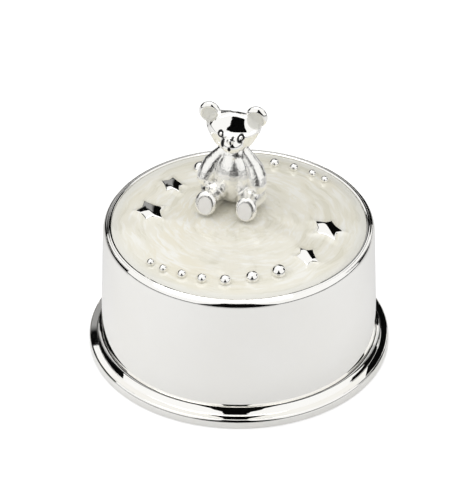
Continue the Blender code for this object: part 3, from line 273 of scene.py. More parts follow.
bearSeat = (-4.009, 9.824, 43.25)
bearSpots = {  # (centre), (reach), in millimetres from the middle of the seat
    "ears": [((-7.15, -1.6, 29.4), (2.45, 1.6, 2.8)), ((6.75, -1.6, 29.7), (2.45, 1.6, 2.8))],
    "sole": ((6.05, -10.9, 3.55), (2.0, 0.9, 2.75)), "soleTilt": -16,
    "eyes": [((-2.5, -6.0, 26.5), (0.9, 2.4, 1.05)), ((3.6, -6.0, 26.05), (1.05, 2.4, 1.0))],
    "marksAndReflections": [  # nose and the line under it, engraved, then two dark reflections painted on the muzzle; the last number is the tilt
        ((1.6, -7.9, 27.0), (0.8, 1.6, 0.6), 0), ((1.3, -8.7, 26.0), (0.3, 1.6, 0.9), 0),
        ((-1.4, -8.0, 24.7), (0.7, 1.8, 0.95), 0), ((0.95, -8.8, 23.9), (0.55, 1.8, 0.8), 0)],
    "frostSoft": 0.06, "eyeSoft": 0.12, "markAndReflectionSoft": 0.15, "eyeHole": 0.45,
    "earColour": (0.85, 0.84, 0.78), "soleColour": (0.975, 0.96, 0.935),
    # near black for the engraved eyes and nose, and for the two dark reflections painted on the
    # muzzle
    "markAndReflectionColour": (0.012, 0.012, 0.013), "markDepth": 0.6,
    "frostMetal": 0.25, "satinRoughness": 0.45,
    "furEdge": (20.5, 17.0),  # heights where the fur starts and where it is full
    "furGloss": 0.23, "faceLumps": 0.25, "furLumps": 2.4,
    "lumps": (0.42, 3, 0.55), "relief": 0.10,  # lumps: scale, detail, roughness
}


def spotShare(mat, centre, reach, tilt, soft, hole=None):
    # 1 inside an ellipsoid of the bear, and 0 again inside its hole, a share of the ellipsoid
    middle = [(c + s) * mm for c, s in zip(centre, bearSeat)]
    local = addNode(mat, "Mapping", {
        "Vector": objectPoint(mat), "Location": middle, "Scale": [r * mm for r in reach],
        "Rotation": (math.radians(tilt), 0, 0)}, vector_type="TEXTURE").outputs[0]
    away = vectorMaths(mat, "LENGTH", local)
    share = between(mat, away, 1 + soft, 1 - soft, 0, 1)
    if hole is not None:
        share = maths(mat, "MULTIPLY", share, between(mat, away, hole - soft, hole + soft, 0, 1))
    return share


def castSilverFinish():
    # the bear: polished silver, satin in its ears and on its soles, engraved eyes, nose and the
    # line under it, and two dark reflections painted on its muzzle
    look, spots = metalLooks["polishedSilver"], bearSpots
    mat, shader = newFinish("castSilver")
    ears = anyOf(mat, [spotShare(mat, *ear, 0, spots["frostSoft"]) for ear in spots["ears"]])
    (x, y, z), reach = spots["sole"]
    soles = anyOf(mat, [spotShare(mat, (side * x, y, z), reach, spots["soleTilt"],
                                  spots["frostSoft"]) for side in (-1, 1)])
    eyes = [spotShare(mat, *eye, 0, spots["eyeSoft"], spots["eyeHole"]) for eye in spots["eyes"]]
    # eyes, nose and the line under it are engraved; the last two marks are dark reflections painted
    # on the muzzle
    marksAndReflections = anyOf(mat, eyes + [spotShare(mat, *mark, spots["markAndReflectionSoft"]) for mark in spots["marksAndReflections"]])
    cloud, fine = metalNoises(mat, look)
    colour = blendColour(mat, cloud, look["colour"], look["clouded"])
    for share, paint in ((ears, "earColour"), (soles, "soleColour"), (marksAndReflections, "markAndReflectionColour")):
        colour = blendColour(mat, share, colour, spots[paint])
    feed(mat, colour, shader, "Base Color")
    frosted = anyOf(mat, [ears, soles])
    feed(mat, between(mat, frosted, 0, 1, 1, spots["frostMetal"]), shader, "Metallic")
    height = addNode(mat, "SeparateXYZ", {"Vector": objectPoint(mat)}).outputs["Z"]
    smooth, furry = [(bearSeat[2] + level) * mm for level in spots["furEdge"]]
    fur = between(mat, height, smooth, furry, 0, 1)
    gloss = metalGloss(mat, look, fine)
    gloss = maths(mat, "ADD", gloss, maths(mat, "MULTIPLY", fur, spots["furGloss"]))
    satin = maths(mat, "MULTIPLY", anyOf(mat, [frosted, marksAndReflections]), spots["satinRoughness"])
    feed(mat, maths(mat, "ADD", gloss, satin, clamp=True), shader, "Roughness")
    lumps = noise(mat, coords(mat), *spots["lumps"]).outputs[0]
    strength = between(mat, fur, 0, 1, spots["faceLumps"], spots["furLumps"])
    relief = maths(mat, "SUBTRACT", maths(mat, "MULTIPLY", lumps, strength),
                   maths(mat, "MULTIPLY", marksAndReflections, spots["markDepth"]))
    feed(mat, surfaceBump(mat, relief, 1.0, spots["relief"]), shader, "Normal")
    return mat


enamelLook = {
    "base": (0.905, 0.876, 0.760), "streak": (0.970, 0.958, 0.888), "shade": (0.835, 0.805, 0.675),
    # edge is painted shade: a darker, greyer ring near the rim, where the enamel slopes down to it
    "warm": (0.885, 0.835, 0.675), "edge": (0.840, 0.832, 0.768),
    "roughness": (0.24, 0.38), "glossSpread": (0.3, 0.7), "coatRoughness": 0.05,
    "turns": 5.0, "curl": 5.0,
    # noises: scale, detail, roughness and warp
    "drift": (0.075, 2, 0.5), "clouds": (0.045, 2, 0.5),
    "bands": (0.36, 3, 0.5, 0.3), "threads": (0.828, 2, 0.5, 0.6),
    # the part of each noise that counts, and how much of its colour it lays on
    "shadeSpread": (0.52, 0.36), "warmSpread": (0.52, 0.66), "warmMost": 0.8,
    "streakSpread": (0.47, 0.62), "streakBands": (0.40, 0.60), "streakLeast": 0.25,
    # the painted shade near the rim: distances from the axis where it starts and where it is full,
    # and how much of it lays on
    "rimShadeReach": (34.3, 36.6), "rimShadeMost": 0.85,
}


def enamelFinish():
    # pearl streaks that run round the top: noise over the direction and the distance from the
    # axis, curled by a slower noise; near the rim a darker, greyer ring is painted shade where the
    # enamel slopes down to the rim
    look = enamelLook
    mat, shader = newFinish("pearlEnamel")
    point = coords(mat)
    level = (1, 1, 0)  # drops the height
    drift = noise(mat, point, *look["drift"]).outputs["Color"]
    bend = vectorMaths(mat, "SUBTRACT", drift, (0.5, 0.5, 0.5))
    bend = vectorMaths(mat, "SCALE", bend, look["curl"])
    bent = vectorMaths(mat, "MULTIPLY", vectorMaths(mat, "ADD", point, bend), level)
    toward = vectorMaths(mat, "SCALE", vectorMaths(mat, "NORMALIZE", bent), look["turns"])
    outward = addNode(mat, "CombineXYZ", {"Z": vectorMaths(mat, "LENGTH", bent)}).outputs[0]
    swirl = vectorMaths(mat, "ADD", toward, outward)
    bands = noise(mat, swirl, *look["bands"]).outputs[0]
    threads = noise(mat, swirl, *look["threads"]).outputs[0]
    clouds = noise(mat, point, *look["clouds"]).outputs[0]
    away = vectorMaths(mat, "LENGTH", vectorMaths(mat, "MULTIPLY", point, level))
    shares = {
        "shade": between(mat, bands, *look["shadeSpread"], 0, 1),
        "warm": between(mat, clouds, *look["warmSpread"], 0, look["warmMost"]),
        "streak": maths(mat, "MULTIPLY", between(mat, threads, *look["streakSpread"], 0, 1),
                        between(mat, bands, *look["streakBands"], look["streakLeast"], 1)),
        # painted shade in a ring near the rim
        "edge": between(mat, away, *look["rimShadeReach"], 0, look["rimShadeMost"]),
    }
    colour = look["base"]
    for paint, share in shares.items():
        colour = blendColour(mat, share, colour, look[paint])
    feed(mat, colour, shader, "Base Color")
    gloss = between(mat, bands, *look["glossSpread"], *look["roughness"])
    feed(mat, gloss, shader, "Roughness")
    shader.inputs["Coat Weight"].default_value = 1
    shader.inputs["Coat Roughness"].default_value = look["coatRoughness"]
    return mat


finishes = {name: metalFinish(name, look) for name, look in metalLooks.items()}
finishes["mouldedVane"] = vaneFinish()
finishes["pearlEnamel"] = enamelFinish()
finishes["castSilver"] = castSilverFinish()
slotFinishes = {
    "silver_plate": "polishedSilver", "enamel": "pearlEnamel", "brass": "turnedBrass",
    "steel": "plainSteel", "blued_steel": "bluedSteel", "zinc_plate": "zincPlate",
    "vane_plastic": "mouldedVane",
}
for part in frame["record"]["subparts"]:
    node = frame["nodes"][part["node"]]
    node.data.materials.clear()
    node.data.materials.append(finishes[slotFinishes[part["material_slot"]]])


# foot

onAxis = 0.01  # radius of a profile's end on the axis

foot = {
    "segments": 384,
    "shoulder": [(38.5, 4.5), (41.2, 4.5), (41.34, 4.80), (41.36, 4.90)],
    "cove": [(41.38, 4.90), (41.46, 4.69), (41.60, 4.42), (41.86, 4.00), (42.18, 3.60),
             (42.38, 3.39), (42.48, 3.28)],
    "bead": ((42.60, 3.16), 0.10, 130, 40, 6),  # centre, radius, from, to, steps
    "ledge": [(42.72, 3.19), (42.74, 3.17), (43.5, 3.11), (44.38, 3.04), (44.42, 2.96),
              (44.47, 3.01)],
    "edge": [(44.50, 3.00), (44.62, 2.90), (44.80, 2.66), (44.94, 2.30), (44.99, 2.05)],
    "base": [(45.0, 1.6), (45.0, 0.35), (44.93, 0.12), (44.7, 0.0), (41.6, 0.0), (41.6, 1.2),
             (37.4, 3.4)],
    "sleeve": [(37.4, 12.0), (38.3, 12.0), (38.5, 11.8)],
    "lug": {  # posts for the screws of the bottom plate
        "count": 3, "firstAngle": 60, "place": 34.65, "segments": 48,
        "radius": 3.35, "hole": 1.2, "top": 12.0, "low": 6.5, "floor": 7.8, "chamfer": 0.4},
}


def makeFoot():
    verts, faces = [], []
    profile = foot["shoulder"] + softCurve(foot["cove"]) + arc(*foot["bead"]) + foot["ledge"]
    profile += softCurve(foot["edge"]) + foot["base"] + foot["sleeve"]
    lathe(verts, faces, profile, foot["segments"])
    lug = foot["lug"]
    post = [(onAxis, lug["low"]), (lug["radius"] - lug["chamfer"], lug["low"]),
            (lug["radius"], lug["low"] + lug["chamfer"]), (lug["radius"], lug["top"]),
            (lug["hole"], lug["top"]), (lug["hole"], lug["floor"]), (onAxis, lug["floor"])]
    for number in range(lug["count"]):
        angle = math.radians(lug["firstAngle"] + 360 / lug["count"] * number)
        centre = (lug["place"] * math.cos(angle), lug["place"] * math.sin(angle))
        lathe(verts, faces, post, lug["segments"], centre)
    piece = meshPiece("footRing", verts, faces, finishes["polishedSilver"])
    place(piece, "base", "silver_plate", "foot_ring")


makeFoot()


# drum

drum = {
    "segments": 384,
    "bore": 38.9, "footRadius": 41.3, "topRadius": 40.13, "bottom": 4.92, "wallTop": 39.5,
    "bottomBevel": (0.03, 0.04), "wallRows": 24,  # bevel: inward, up
    "shoulder": ((36.93, 39.39), 3.2, 2, 37, 20),  # centre, radius, from, to, steps
    "groove": [(39.45, 41.33), (39.40, 41.25), (39.35, 41.36)],
    "lip": [(39.33, 41.38), (39.15, 41.49), (38.88, 41.57), (38.75, 41.60), (38.68, 41.55),
            (38.61, 41.61), (38.4, 41.69), (38.22, 41.72), (38.05, 41.69), (37.85, 41.63)],
    "lipEdge": ((37.82, 41.50), 0.12, 100, 180, 8),
    "inside": [(37.7, 38.35), (35.8, 38.35), (35.8, 37.15), (38.9, 37.15)],
}


def makeDrum():
    verts, faces = [], []
    inward, up = drum["bottomBevel"]
    low, narrowing = drum["bottom"] + up, drum["topRadius"] - drum["footRadius"]
    wall = [(drum["bore"], drum["bottom"]), (drum["footRadius"] - inward, drum["bottom"])]
    wall += [(drum["footRadius"] + narrowing * t, low + (drum["wallTop"] - low) * t)
             for t in np.linspace(0, 1, drum["wallRows"])[:-1]]
    rim = arc(*drum["shoulder"]) + drum["groove"] + softCurve(drum["lip"]) + arc(*drum["lipEdge"])
    lathe(verts, faces, wall + rim + drum["inside"], drum["segments"])
    piece = meshPiece("drumWall", verts, faces, finishes["polishedSilver"])
    place(piece, "drum", "silver_plate", "drum_shell")


makeDrum()


# top plate with its beads and stars

top = {
    "radius": 37.4, "enamelEdge": 41.25, "dome": 1.7, "domePower": 5,  # dome: rise of the middle
    "plateEdge": 39.95, "plateBottom": 38.65, "plateRings": 40, "plateSegments": 192,
    "ornamentDepth": 1.2,  # how far beads and stars reach down into the enamel
    "beads": [  # angle, radius from the axis, radius of the bead
        (-51.4, 28.8, 2.15), (-67.5, 29.4, 1.95), (-82.4, 30.7, 1.73), (-95.0, 31.3, 1.5),
        (-106.3, 31.8, 1.35), (-117.1, 32.75, 1.2), (-125.4, 33.2, 1.14)],
    "beadLift": 0.7, "beadFoot": 0.9, "beadArc": (-25, 89.5, 24), "beadSegments": 64,
    "stars": [  # angle, radius from the axis, tips as (angle, reach), offset of the crease
        (5.0, 26.65, [(148, 5.9), (224, 4.7), (304, 5.9), (6, 5.0), (90, 4.5)], -0.2),
        (-27.8, 26.9, [(132, 4.6), (195, 3.5), (285, 4.7), (339, 4.3), (75, 3.8)], -0.8)],
    "star": {
        "waist": 0.60, "hollow": 0.03, "sideSteps": 8,
        "side": 0.30, "bevel": [(1.0, 0.32), (0.968, 0.12), (0.92, 0.0)],  # share, drop
        "capShares": (0.88, 0.02, 18), "capRise": 0.03, "crown": 0.30, "lift": 0.12,
        "creaseAngle": -55, "creaseSlope": 0.12, "creaseWidth": 0.35},
}


def domeHeight(r):
    return top["dome"] * (1 - (np.asarray(r) / top["radius"]) ** top["domePower"])


def beadPlaces():
    for half in (0, 180):
        for angle, r, size in top["beads"]:
            a = math.radians(angle + half)
            yield r * math.cos(a), r * math.sin(a), size


def starOutlines():
    # closed outline of each star in the plane, tips joined by slightly hollow sides
    star = top["star"]
    for half in (0, 180):
        for angle, r, tips, offset in top["stars"]:
            a = math.radians(angle + half)
            centre = np.array([r * math.cos(a), r * math.sin(a)])
            tips = [(math.radians(t + half), reach) for t, reach in tips]
            corners = []
            for (a0, r0), (a1, r1) in zip(tips, tips[1:] + tips[:1]):
                span = (a1 - a0) % math.tau
                corners.append((a0, r0))
                corners.append((a0 + span / 2, star["waist"] * (r0 + r1) / 2))
            points = np.array([(q * math.cos(b), q * math.sin(b)) for b, q in corners])
            sides = []
            for first, second in zip(points, np.roll(points, -1, axis=0)):
                inward = -(first + second) / 2
                for t in np.linspace(0, 1, star["sideSteps"], endpoint=False):
                    hollow = star["hollow"] * 4 * t * (1 - t)
                    sides.append(first * (1 - t) + second * t + inward * hollow)
            yield centre, np.array(sides), math.radians(star["creaseAngle"] + half), offset


def addStar(verts, faces, centre, outline, crease, offset):
    # steep sides with a narrow bevel, under a low cap that falls away on both sides of a crease
    star = top["star"]
    reach = np.hypot(*outline.T).max()
    rings = [(1.0, -top["ornamentDepth"])]
    rings += [(share, star["side"] - drop) for share, drop in star["bevel"]]
    rings += [(share, star["side"] + star["capRise"]) for share in np.linspace(*star["capShares"])]
    start, count = len(verts), len(outline)
    for share, rise in rings:
        for x, y in outline * share:
            level = top["enamelEdge"] + domeHeight(math.hypot(centre[0] + x, centre[1] + y))
            aside = x * -math.sin(crease) + y * math.cos(crease) + offset
            fall = math.hypot(aside, star["creaseWidth"]) - star["creaseWidth"]
            cap = star["crown"] * (1 - (x * x + y * y) / reach**2) - star["creaseSlope"] * fall
            verts.append((centre[0] + x, centre[1] + y, level + rise + cap + star["lift"]))
    for ring in range(len(rings) - 1):
        bridge(faces, start + ring * count, start + (ring + 1) * count, count)
    faces.append(tuple(range(len(verts) - count, len(verts))))


def makeTopPlate():
    verts, faces = [], []
    radii = np.linspace(0, top["radius"], top["plateRings"])
    over = [(r, top["plateEdge"] + domeHeight(r)) for r in radii[1:]]
    under = [(top["radius"], top["plateBottom"]), (onAxis, top["plateBottom"])]
    middle = [(onAxis, top["plateEdge"] + top["dome"])]
    lathe(verts, faces, middle + over + under, top["plateSegments"])
    for x, y, size in beadPlaces():
        level = top["enamelEdge"] + domeHeight(math.hypot(x, y))
        ball = arc((0, level + top["beadLift"]), size, *top["beadArc"])
        root = [(size * top["beadFoot"], level - top["ornamentDepth"])]
        lathe(verts, faces, root + ball, top["beadSegments"], (x, y), loop=False)
    for star in starOutlines():
        addStar(verts, faces, *star)
    piece = meshPiece("topPlate", verts, faces, finishes["polishedSilver"], sharpAngle=60)
    place(piece, "drum", "silver_plate", "top_plate")


makeTopPlate()


# enamel

enamel = {
    "radius": 37.62, "rings": 170, "spokes": 480, "thickness": 1.0, "sink": 0.12,
    "edgeCrowding": 0.25,  # draws the rings closer together towards the edge
    "rimClimb": 0.18, "rimReach": 0.9, "ornamentClimb": 0.36, "ornamentReach": 0.75,
    "ripple": 0.03, "waves": ((3.1, 2.0, 6.3), (3.7, 1.5, 7.1)),  # length, bend, length of bend
}


def rippleWave(along, across, length, bend, bendLength):
    return np.sin(along / length + bend * np.sin(across / bendLength))


def outlineDistance(x, y, outline):
    # distance from each point to a closed outline, 0 inside it
    best = np.full(x.shape, np.inf)
    inside = np.zeros(x.shape, bool)
    for (ax, ay), (bx, by) in zip(outline, np.roll(outline, -1, axis=0)):
        dx, dy = bx - ax, by - ay
        t = np.clip(((x - ax) * dx + (y - ay) * dy) / (dx * dx + dy * dy), 0, 1)
        best = np.minimum(best, np.hypot(x - ax - t * dx, y - ay - t * dy))
        crosses = (ay > y) != (by > y)
        with np.errstate(divide="ignore", invalid="ignore"):
            inside ^= crosses & (x < dx * (y - ay) / dy + ax)
    return np.where(inside, 0, best)


def makeEnamel():
    rings, spokes, radius = enamel["rings"], enamel["spokes"], enamel["radius"]
    shares = np.linspace(0, 1, rings + 1)[1:]
    crowding = enamel["edgeCrowding"]
    r = (shares * (1 - crowding) + crowding * np.sin(shares * math.pi / 2)) * radius
    angle = np.linspace(0, math.tau, spokes, endpoint=False)
    rr, aa = np.meshgrid(r, angle, indexing="ij")
    x, y = rr * np.cos(aa), rr * np.sin(aa)
    edge = top["enamelEdge"] - enamel["sink"]
    z = edge + domeHeight(rr)
    z += enamel["rimClimb"] * np.exp((rr - radius) / enamel["rimReach"])
    clear = [np.maximum(np.hypot(x - bx, y - by) - size * top["beadFoot"], 0)
             for bx, by, size in beadPlaces()]
    clear += [outlineDistance(x - centre[0], y - centre[1], outline)
              for centre, outline, *crease in starOutlines()]
    for away in clear:
        z += enamel["ornamentClimb"] * np.exp(-away / enamel["ornamentReach"])
    first, second = enamel["waves"]
    z += enamel["ripple"] * rippleWave(x, y, *first) * rippleWave(y, x, *second)
    verts = [(0, 0, edge + top["dome"])] + list(zip(x.ravel(), y.ravel(), z.ravel()))
    faces = [(0, 1 + i, 1 + (i + 1) % spokes) for i in range(spokes)]
    low = len(verts)
    verts += [(radius * math.cos(a), radius * math.sin(a), top["enamelEdge"] - enamel["thickness"])
              for a in angle]
    for ring in range(rings):  # the last one goes down the side
        bridge(faces, 1 + ring * spokes, 1 + (ring + 1) * spokes, spokes)
    faces.append(tuple(range(low, low + spokes)))
    piece = meshPiece("enamelTop", verts, faces, finishes["pearlEnamel"], sharpAngle=50)
    place(piece, "drum", "enamel", "enamel_inlay")


makeEnamel()


# bear

bear = {
    "voxel": 0.2, "smoothing": 8, "lastSmoothing": 3, "smoothFactor": 0.5,
    "bottom": -0.55,  # nothing of it reaches lower; this much is sunk in the enamel
    "balls": [  # centre, radii, tilt about X in degrees; millimetres from the middle of the seat
        ((0, -0.2, 8.6), (6.2, 5.8, 9.2), 0),  # body
        ((0, 0.9, 14.8), (5.0, 4.1, 5.2), 0),  # shoulders
        ((1.0, -6.3, 23.9), (3.4, 3.3, 2.85), 0),  # muzzle
        ((1.2, -8.7, 26.3), (1.1, 0.9, 0.7), 0),  # nose
        ((0, 1.0, 18.6), (3.6, 3.2, 2.6), 0),  # neck
        ((0, 4.8, 2.7), (2.1, 2.0, 2.0), 0),  # tail
        ((-7.3, -0.4, 29.9), (3.3, 1.6, 3.5), 0),  # ears
        ((6.9, -0.4, 30.5), (3.3, 1.6, 3.5), 0),
    ],
    "pairs": [  # the same on both sides: feet
        ((6.15, -9.6, 3.65), (3.35, 2.0, 3.85), -16),
    ],
    "limbSteps": 7,
    "limbs": [  # arm and leg as chains of (x, y, z, radius), on both sides
        [(2.9, 0.2, 17.0, 1.9), (4.3, -0.2, 15.0, 2.4), (6.3, -0.9, 12.3, 2.9),
         (7.2, -1.8, 10.2, 3.1), (7.8, -2.6, 8.4, 2.9)],
        [(5.4, -1.2, 3.6, 4.6), (5.4, -5.0, 3.3, 3.4), (5.8, -8.0, 3.4, 3.1)],
    ],
    "head": [  # height, half width, front, back
        (19.4, 4.0, -3.8, 2.8), (20.2, 4.9, -5.0, 3.8), (21.8, 6.1, -5.9, 4.9),
        (23.3, 6.9, -6.2, 5.4), (25.0, 7.8, -6.3, 5.6), (26.3, 8.2, -6.4, 5.4),
        (27.4, 8.2, -6.4, 4.8), (28.4, 7.8, -6.2, 3.9), (29.2, 7.1, -5.8, 2.9),
        (29.9, 6.1, -5.0, 1.9), (30.4, 5.1, -4.3, 1.0), (30.8, 3.8, -3.6, 0.2),
        (31.2, 2.4, -2.8, -0.4), (31.45, 1.0, -2.0, -0.9)],
    "headSquareness": 2.3, "headPoints": 72, "headRows": 48,
    "forehead": {  # the face stays behind this surface; below low it slopes back
        "middle": (-4.6, 25.2, 21.7), "radius": 32.0, "rise": 1.62, "low": 27.0, "slope": 1.2},
    "earDish": {
        "places": ((-7.15, 29.4), (6.75, 29.7)), "reach": (2.6, 2.95), "depth": 0.9,
        "between": (-4.0, 0.2), "power": 5},
    "sole": {"flat": 1.25, "tilt": 16, "reach": 4.6, "press": 0.9},
}


def ballPoints(columns=28, rows=18):
    # unit ball as one list of points and its faces
    points = [(0, 0, 1)]
    for row in range(1, rows):
        tilt = math.pi * row / rows
        points += [(math.sin(tilt) * math.cos(math.tau * c / columns),
                    math.sin(tilt) * math.sin(math.tau * c / columns), math.cos(tilt))
                   for c in range(columns)]
    points.append((0, 0, -1))
    last = len(points) - 1
    faces = [(0, 1 + c, 1 + (c + 1) % columns) for c in range(columns)]
    for row in range(rows - 2):
        bridge(faces, 1 + row * columns, 1 + (row + 1) * columns, columns)
    lowest = last - columns
    faces += [(lowest + c, last, lowest + (c + 1) % columns) for c in range(columns)]
    return np.array(points), faces


def bearBalls():
    # every ball of the body as (centre, radii, tilt)
    balls = list(bear["balls"])
    for side in (-1, 1):
        balls += [((side * x, y, z), radii, tilt) for (x, y, z), radii, tilt in bear["pairs"]]
        for limb in bear["limbs"]:
            for first, second in zip(limb, limb[1:]):
                for t in np.linspace(0, 1, bear["limbSteps"]):
                    x, y, z, r = np.array(first) * (1 - t) + np.array(second) * t
                    balls.append(((side * x, y, z), (r, r, r), 0))
    return balls


def bearHead():
    # broad head with a flat forehead, lofted through its rounded-square sections
    around, rows = bear["headPoints"], bear["headRows"]
    table = np.array(bear["head"])
    spacing = np.linspace(0, len(table) - 1, rows)
    z, half, front, back = [np.interp(spacing, range(len(table)), column) for column in table.T]
    power = 2 / bear["headSquareness"]
    verts, faces = [], [tuple(reversed(range(around)))]
    for row in range(rows):
        for step in range(around):
            a = math.tau * step / around
            c, s = math.cos(a), math.sin(a)
            depth = back[row] if s > 0 else -front[row]
            verts.append((half[row] * math.copysign(abs(c) ** power, c),
                          depth * math.copysign(abs(s) ** power, s), z[row]))
    for row in range(rows - 1):
        bridge(faces, row * around, (row + 1) * around, around)
    faces.append(tuple(range((rows - 1) * around, rows * around)))
    verts = np.array(verts)
    brow = bear["forehead"]
    x, y, z = (verts - brow["middle"]).T * [[1], [1], [brow["rise"]]]
    low = (brow["low"] - brow["middle"][2]) * brow["rise"]
    bulge = np.sqrt(np.maximum(brow["radius"]**2 - x**2 - np.maximum(z, low)**2, 0))
    limit = brow["middle"][1] - bulge - brow["slope"] * np.maximum(low - z, 0)
    front = y < 0
    verts[front, 1] = np.maximum(verts[front, 1], limit[front])
    return verts, faces


def bearParts():
    unit, unitFaces = ballPoints()
    verts, faces = bearHead()
    verts = [verts]
    for centre, radii, tilt in bearBalls():
        turn = np.array(Matrix.Rotation(math.radians(tilt), 3, "X"))
        start = sum(len(v) for v in verts)
        verts.append(unit * radii @ turn.T + centre)
        faces += [tuple(start + i for i in face) for face in unitFaces]
    mesh = bpy.data.meshes.new("seatedBear")
    mesh.from_pydata(np.concatenate(verts).tolist(), [], faces)
    return mesh


def applied(piece, *modifiers):
    # adds modifiers as (type, settings) and bakes them into the mesh
    for kind, settings in modifiers:
        new = piece.modifiers.new(kind.title(), kind)
        for key, value in settings.items():
            setattr(new, key, value)
    graph = bpy.context.evaluated_depsgraph_get()
    mesh = bpy.data.meshes.new_from_object(piece.evaluated_get(graph))
    piece.modifiers.clear()
    piece.data = mesh


def dishEars(points):
    dish = bear["earDish"]
    (width, height), (front, back) = dish["reach"], dish["between"]
    for x, z in dish["places"]:
        away = np.hypot((points[:, 0] - x) / width, (points[:, 2] - z) / height)
        inside = (away < 1) & (points[:, 1] < back) & (points[:, 1] > front)
        points[inside, 1] += dish["depth"] * (1 - away[inside] ** dish["power"])


def flattenSoles(points):
    sole = bear["sole"]
    tilt = math.radians(sole["tilt"])
    outward = np.array([0, -math.cos(tilt), math.sin(tilt)])
    (x, y, z), radii, _ = bear["pairs"][0]
    for side in (-1, 1):
        centre = np.array([side * x, y, z])
        out = (points - centre) @ outward - sole["flat"]
        near = (np.linalg.norm(points - centre, axis=1) < sole["reach"]) & (out > 0)
        points[near] -= np.outer(out[near] * sole["press"], outward)


def makeBear():
    piece = addObject("seatedBear", bearParts())
    factor = bear["smoothFactor"]
    applied(piece, ("REMESH", {"mode": "VOXEL", "voxel_size": bear["voxel"]}),
            ("SMOOTH", {"factor": factor, "iterations": bear["smoothing"]}))
    points = np.array([v.co for v in piece.data.vertices])
    dishEars(points)
    flattenSoles(points)
    points[:, 2] = np.maximum(points[:, 2], bear["bottom"])
    points = (points + np.array(bearSeat)) * mm
    piece.data.vertices.foreach_set("co", points.astype(np.float32).ravel())
    piece.data.update()
    applied(piece, ("SMOOTH", {"factor": factor, "iterations": bear["lastSmoothing"]}))
    piece.data.materials.clear()
    piece.data.materials.append(finishes["castSilver"])
    piece.data.shade_smooth()
    place(piece, "drum", "silver_plate", "teddy_bear")


makeBear()


# studio

studio = {  # lengths here are in metres
    "floorSize": 4.0, "floorSegments": 96, "floorColour": 0.80, "floorCloud": 0.01,
    "cloudNoise": (0.5, 2),  # scale, detail
    "floorGlow": 0.42,  # to the camera
    # the floor's light in mirrors: overall, more at the sides, at the right and behind
    "floorMirror": 0.065, "mirrorSides": 0.055, "mirrorRight": -0.016, "mirrorBehind": -0.075,
    "sheenIor": 1.5, "sheenFrom": 0.12, "sheenRoughness": 0.1,
    "worldWhite": 1.0, "worldLevel": 0.72,
    "overheadSize": 0.9, "overheadPlace": (-0.15, 0.1, 1.1), "overheadPower": 3.0,
    "cardDistance": 0.6, "cardColumns": 24, "cardSteps": 6, "cardBlack": 0.004,
    "backGrey": 0.33, "greyBehind": (0.3, 0.4),
    "greyBands": [  # low on the back card: elevations in degrees, then places left to right
        ((12, 16, 32.6, 33.6), (-0.27, -0.23, -0.01, 0.02)),
        ((12, 16, 28.5, 30.2), (-0.50, -0.42, -0.01, 0.02))],
    "cards": {  # rows of elevation, left and right azimuth from the camera's direction, in degrees
        "frontCard": [(-2, -34, 32), (6, -28, 26), (16, -21, 19), (25, -16, 14), (34, -13, 9),
                      (44, -13, 7), (52, -12, 6)],
        "backCard": [(-3, 140, 266), (10, 142, 266), (25, 148, 262), (33, 152, 206),
                     (35.5, 153, 200), (36.4, 154, 177), (46, 160, 170)],
        "rightCard": [(-3, 108, 126), (8, 104, 126), (14, 93, 126), (24, 93, 124), (30, 98, 114)],
        "horizonCard": [(-3, -180, 180), (1.2, -180, 180)],
    },
}
camera = {  # millimetres and degrees; side and height say where it looks
    "azimuth": 15.0, "elevation": 35.61, "distance": 1112.75, "lens": 270.5,
    "side": -0.70, "height": 31.98, "sensor": 36, "clip": (0.01, 20),  # clip in metres
}


def cameraAxes(mat):
    # direction from the object: X to the viewer's right, Y away from the camera, Z up
    turn = (0, 0, math.radians(-camera["azimuth"]))
    turned = addNode(mat, "Mapping", {"Vector": objectPoint(mat), "Rotation": turn}).outputs[0]
    return addNode(mat, "SeparateXYZ", {"Vector": vectorMaths(mat, "NORMALIZE", turned)}).outputs


def mixShaders(mat, share, first, second):
    return addNode(mat, "MixShader", {0: share, 1: first, 2: second}).outputs[0]


def floorFinish():
    # white to the camera, grey in mirrors, with a sheen at low angles; clear from below
    mat, shader = newFinish("paleFloor")
    mat.node_tree.nodes.remove(shader)
    path = addNode(mat, "LightPath").outputs
    toward = cameraAxes(mat)
    x, y = toward["X"], toward["Y"]
    sides = maths(mat, "SUBTRACT", maths(mat, "MULTIPLY", x, x), maths(mat, "MULTIPLY", y, y))
    mirror = studio["floorMirror"]
    for share, name in ((sides, "mirrorSides"), (x, "mirrorRight"), (y, "mirrorBehind")):
        mirror = maths(mat, "ADD", mirror, maths(mat, "MULTIPLY", share, studio[name]))
    glow = maths(mat, "ADD", maths(mat, "MULTIPLY", path["Is Camera Ray"], studio["floorGlow"]),
                 maths(mat, "MULTIPLY", path["Is Glossy Ray"], mirror))
    cloud = noise(mat, coords(mat), *studio["cloudNoise"]).outputs[0]
    grey = studio["floorColour"]
    pale = blendColour(mat, cloud, (grey,) * 3, (grey + studio["floorCloud"],) * 3)
    matt = addNode(mat, "BsdfDiffuse", {"Color": pale}).outputs[0]
    glowing = addNode(mat, "Emission", {"Strength": glow}).outputs[0]
    surface = addNode(mat, "AddShader", {0: matt, 1: glowing}).outputs[0]
    slant = addNode(mat, "Fresnel", {"IOR": studio["sheenIor"]}).outputs[0]
    sheen = maths(mat, "MULTIPLY", between(mat, slant, studio["sheenFrom"], 1, 0, 1),
                  path["Is Glossy Ray"])
    smooth = addNode(mat, "BsdfGlossy", {"Roughness": studio["sheenRoughness"]}).outputs[0]
    surface = mixShaders(mat, sheen, surface, smooth)
    fromBelow = addNode(mat, "NewGeometry").outputs["Backfacing"]
    clear = addNode(mat, "BsdfTransparent").outputs[0]
    surface = mixShaders(mat, fromBelow, surface, clear)
    feed(mat, surface, mat.node_tree.nodes["Material Output"], "Surface")
    return mat


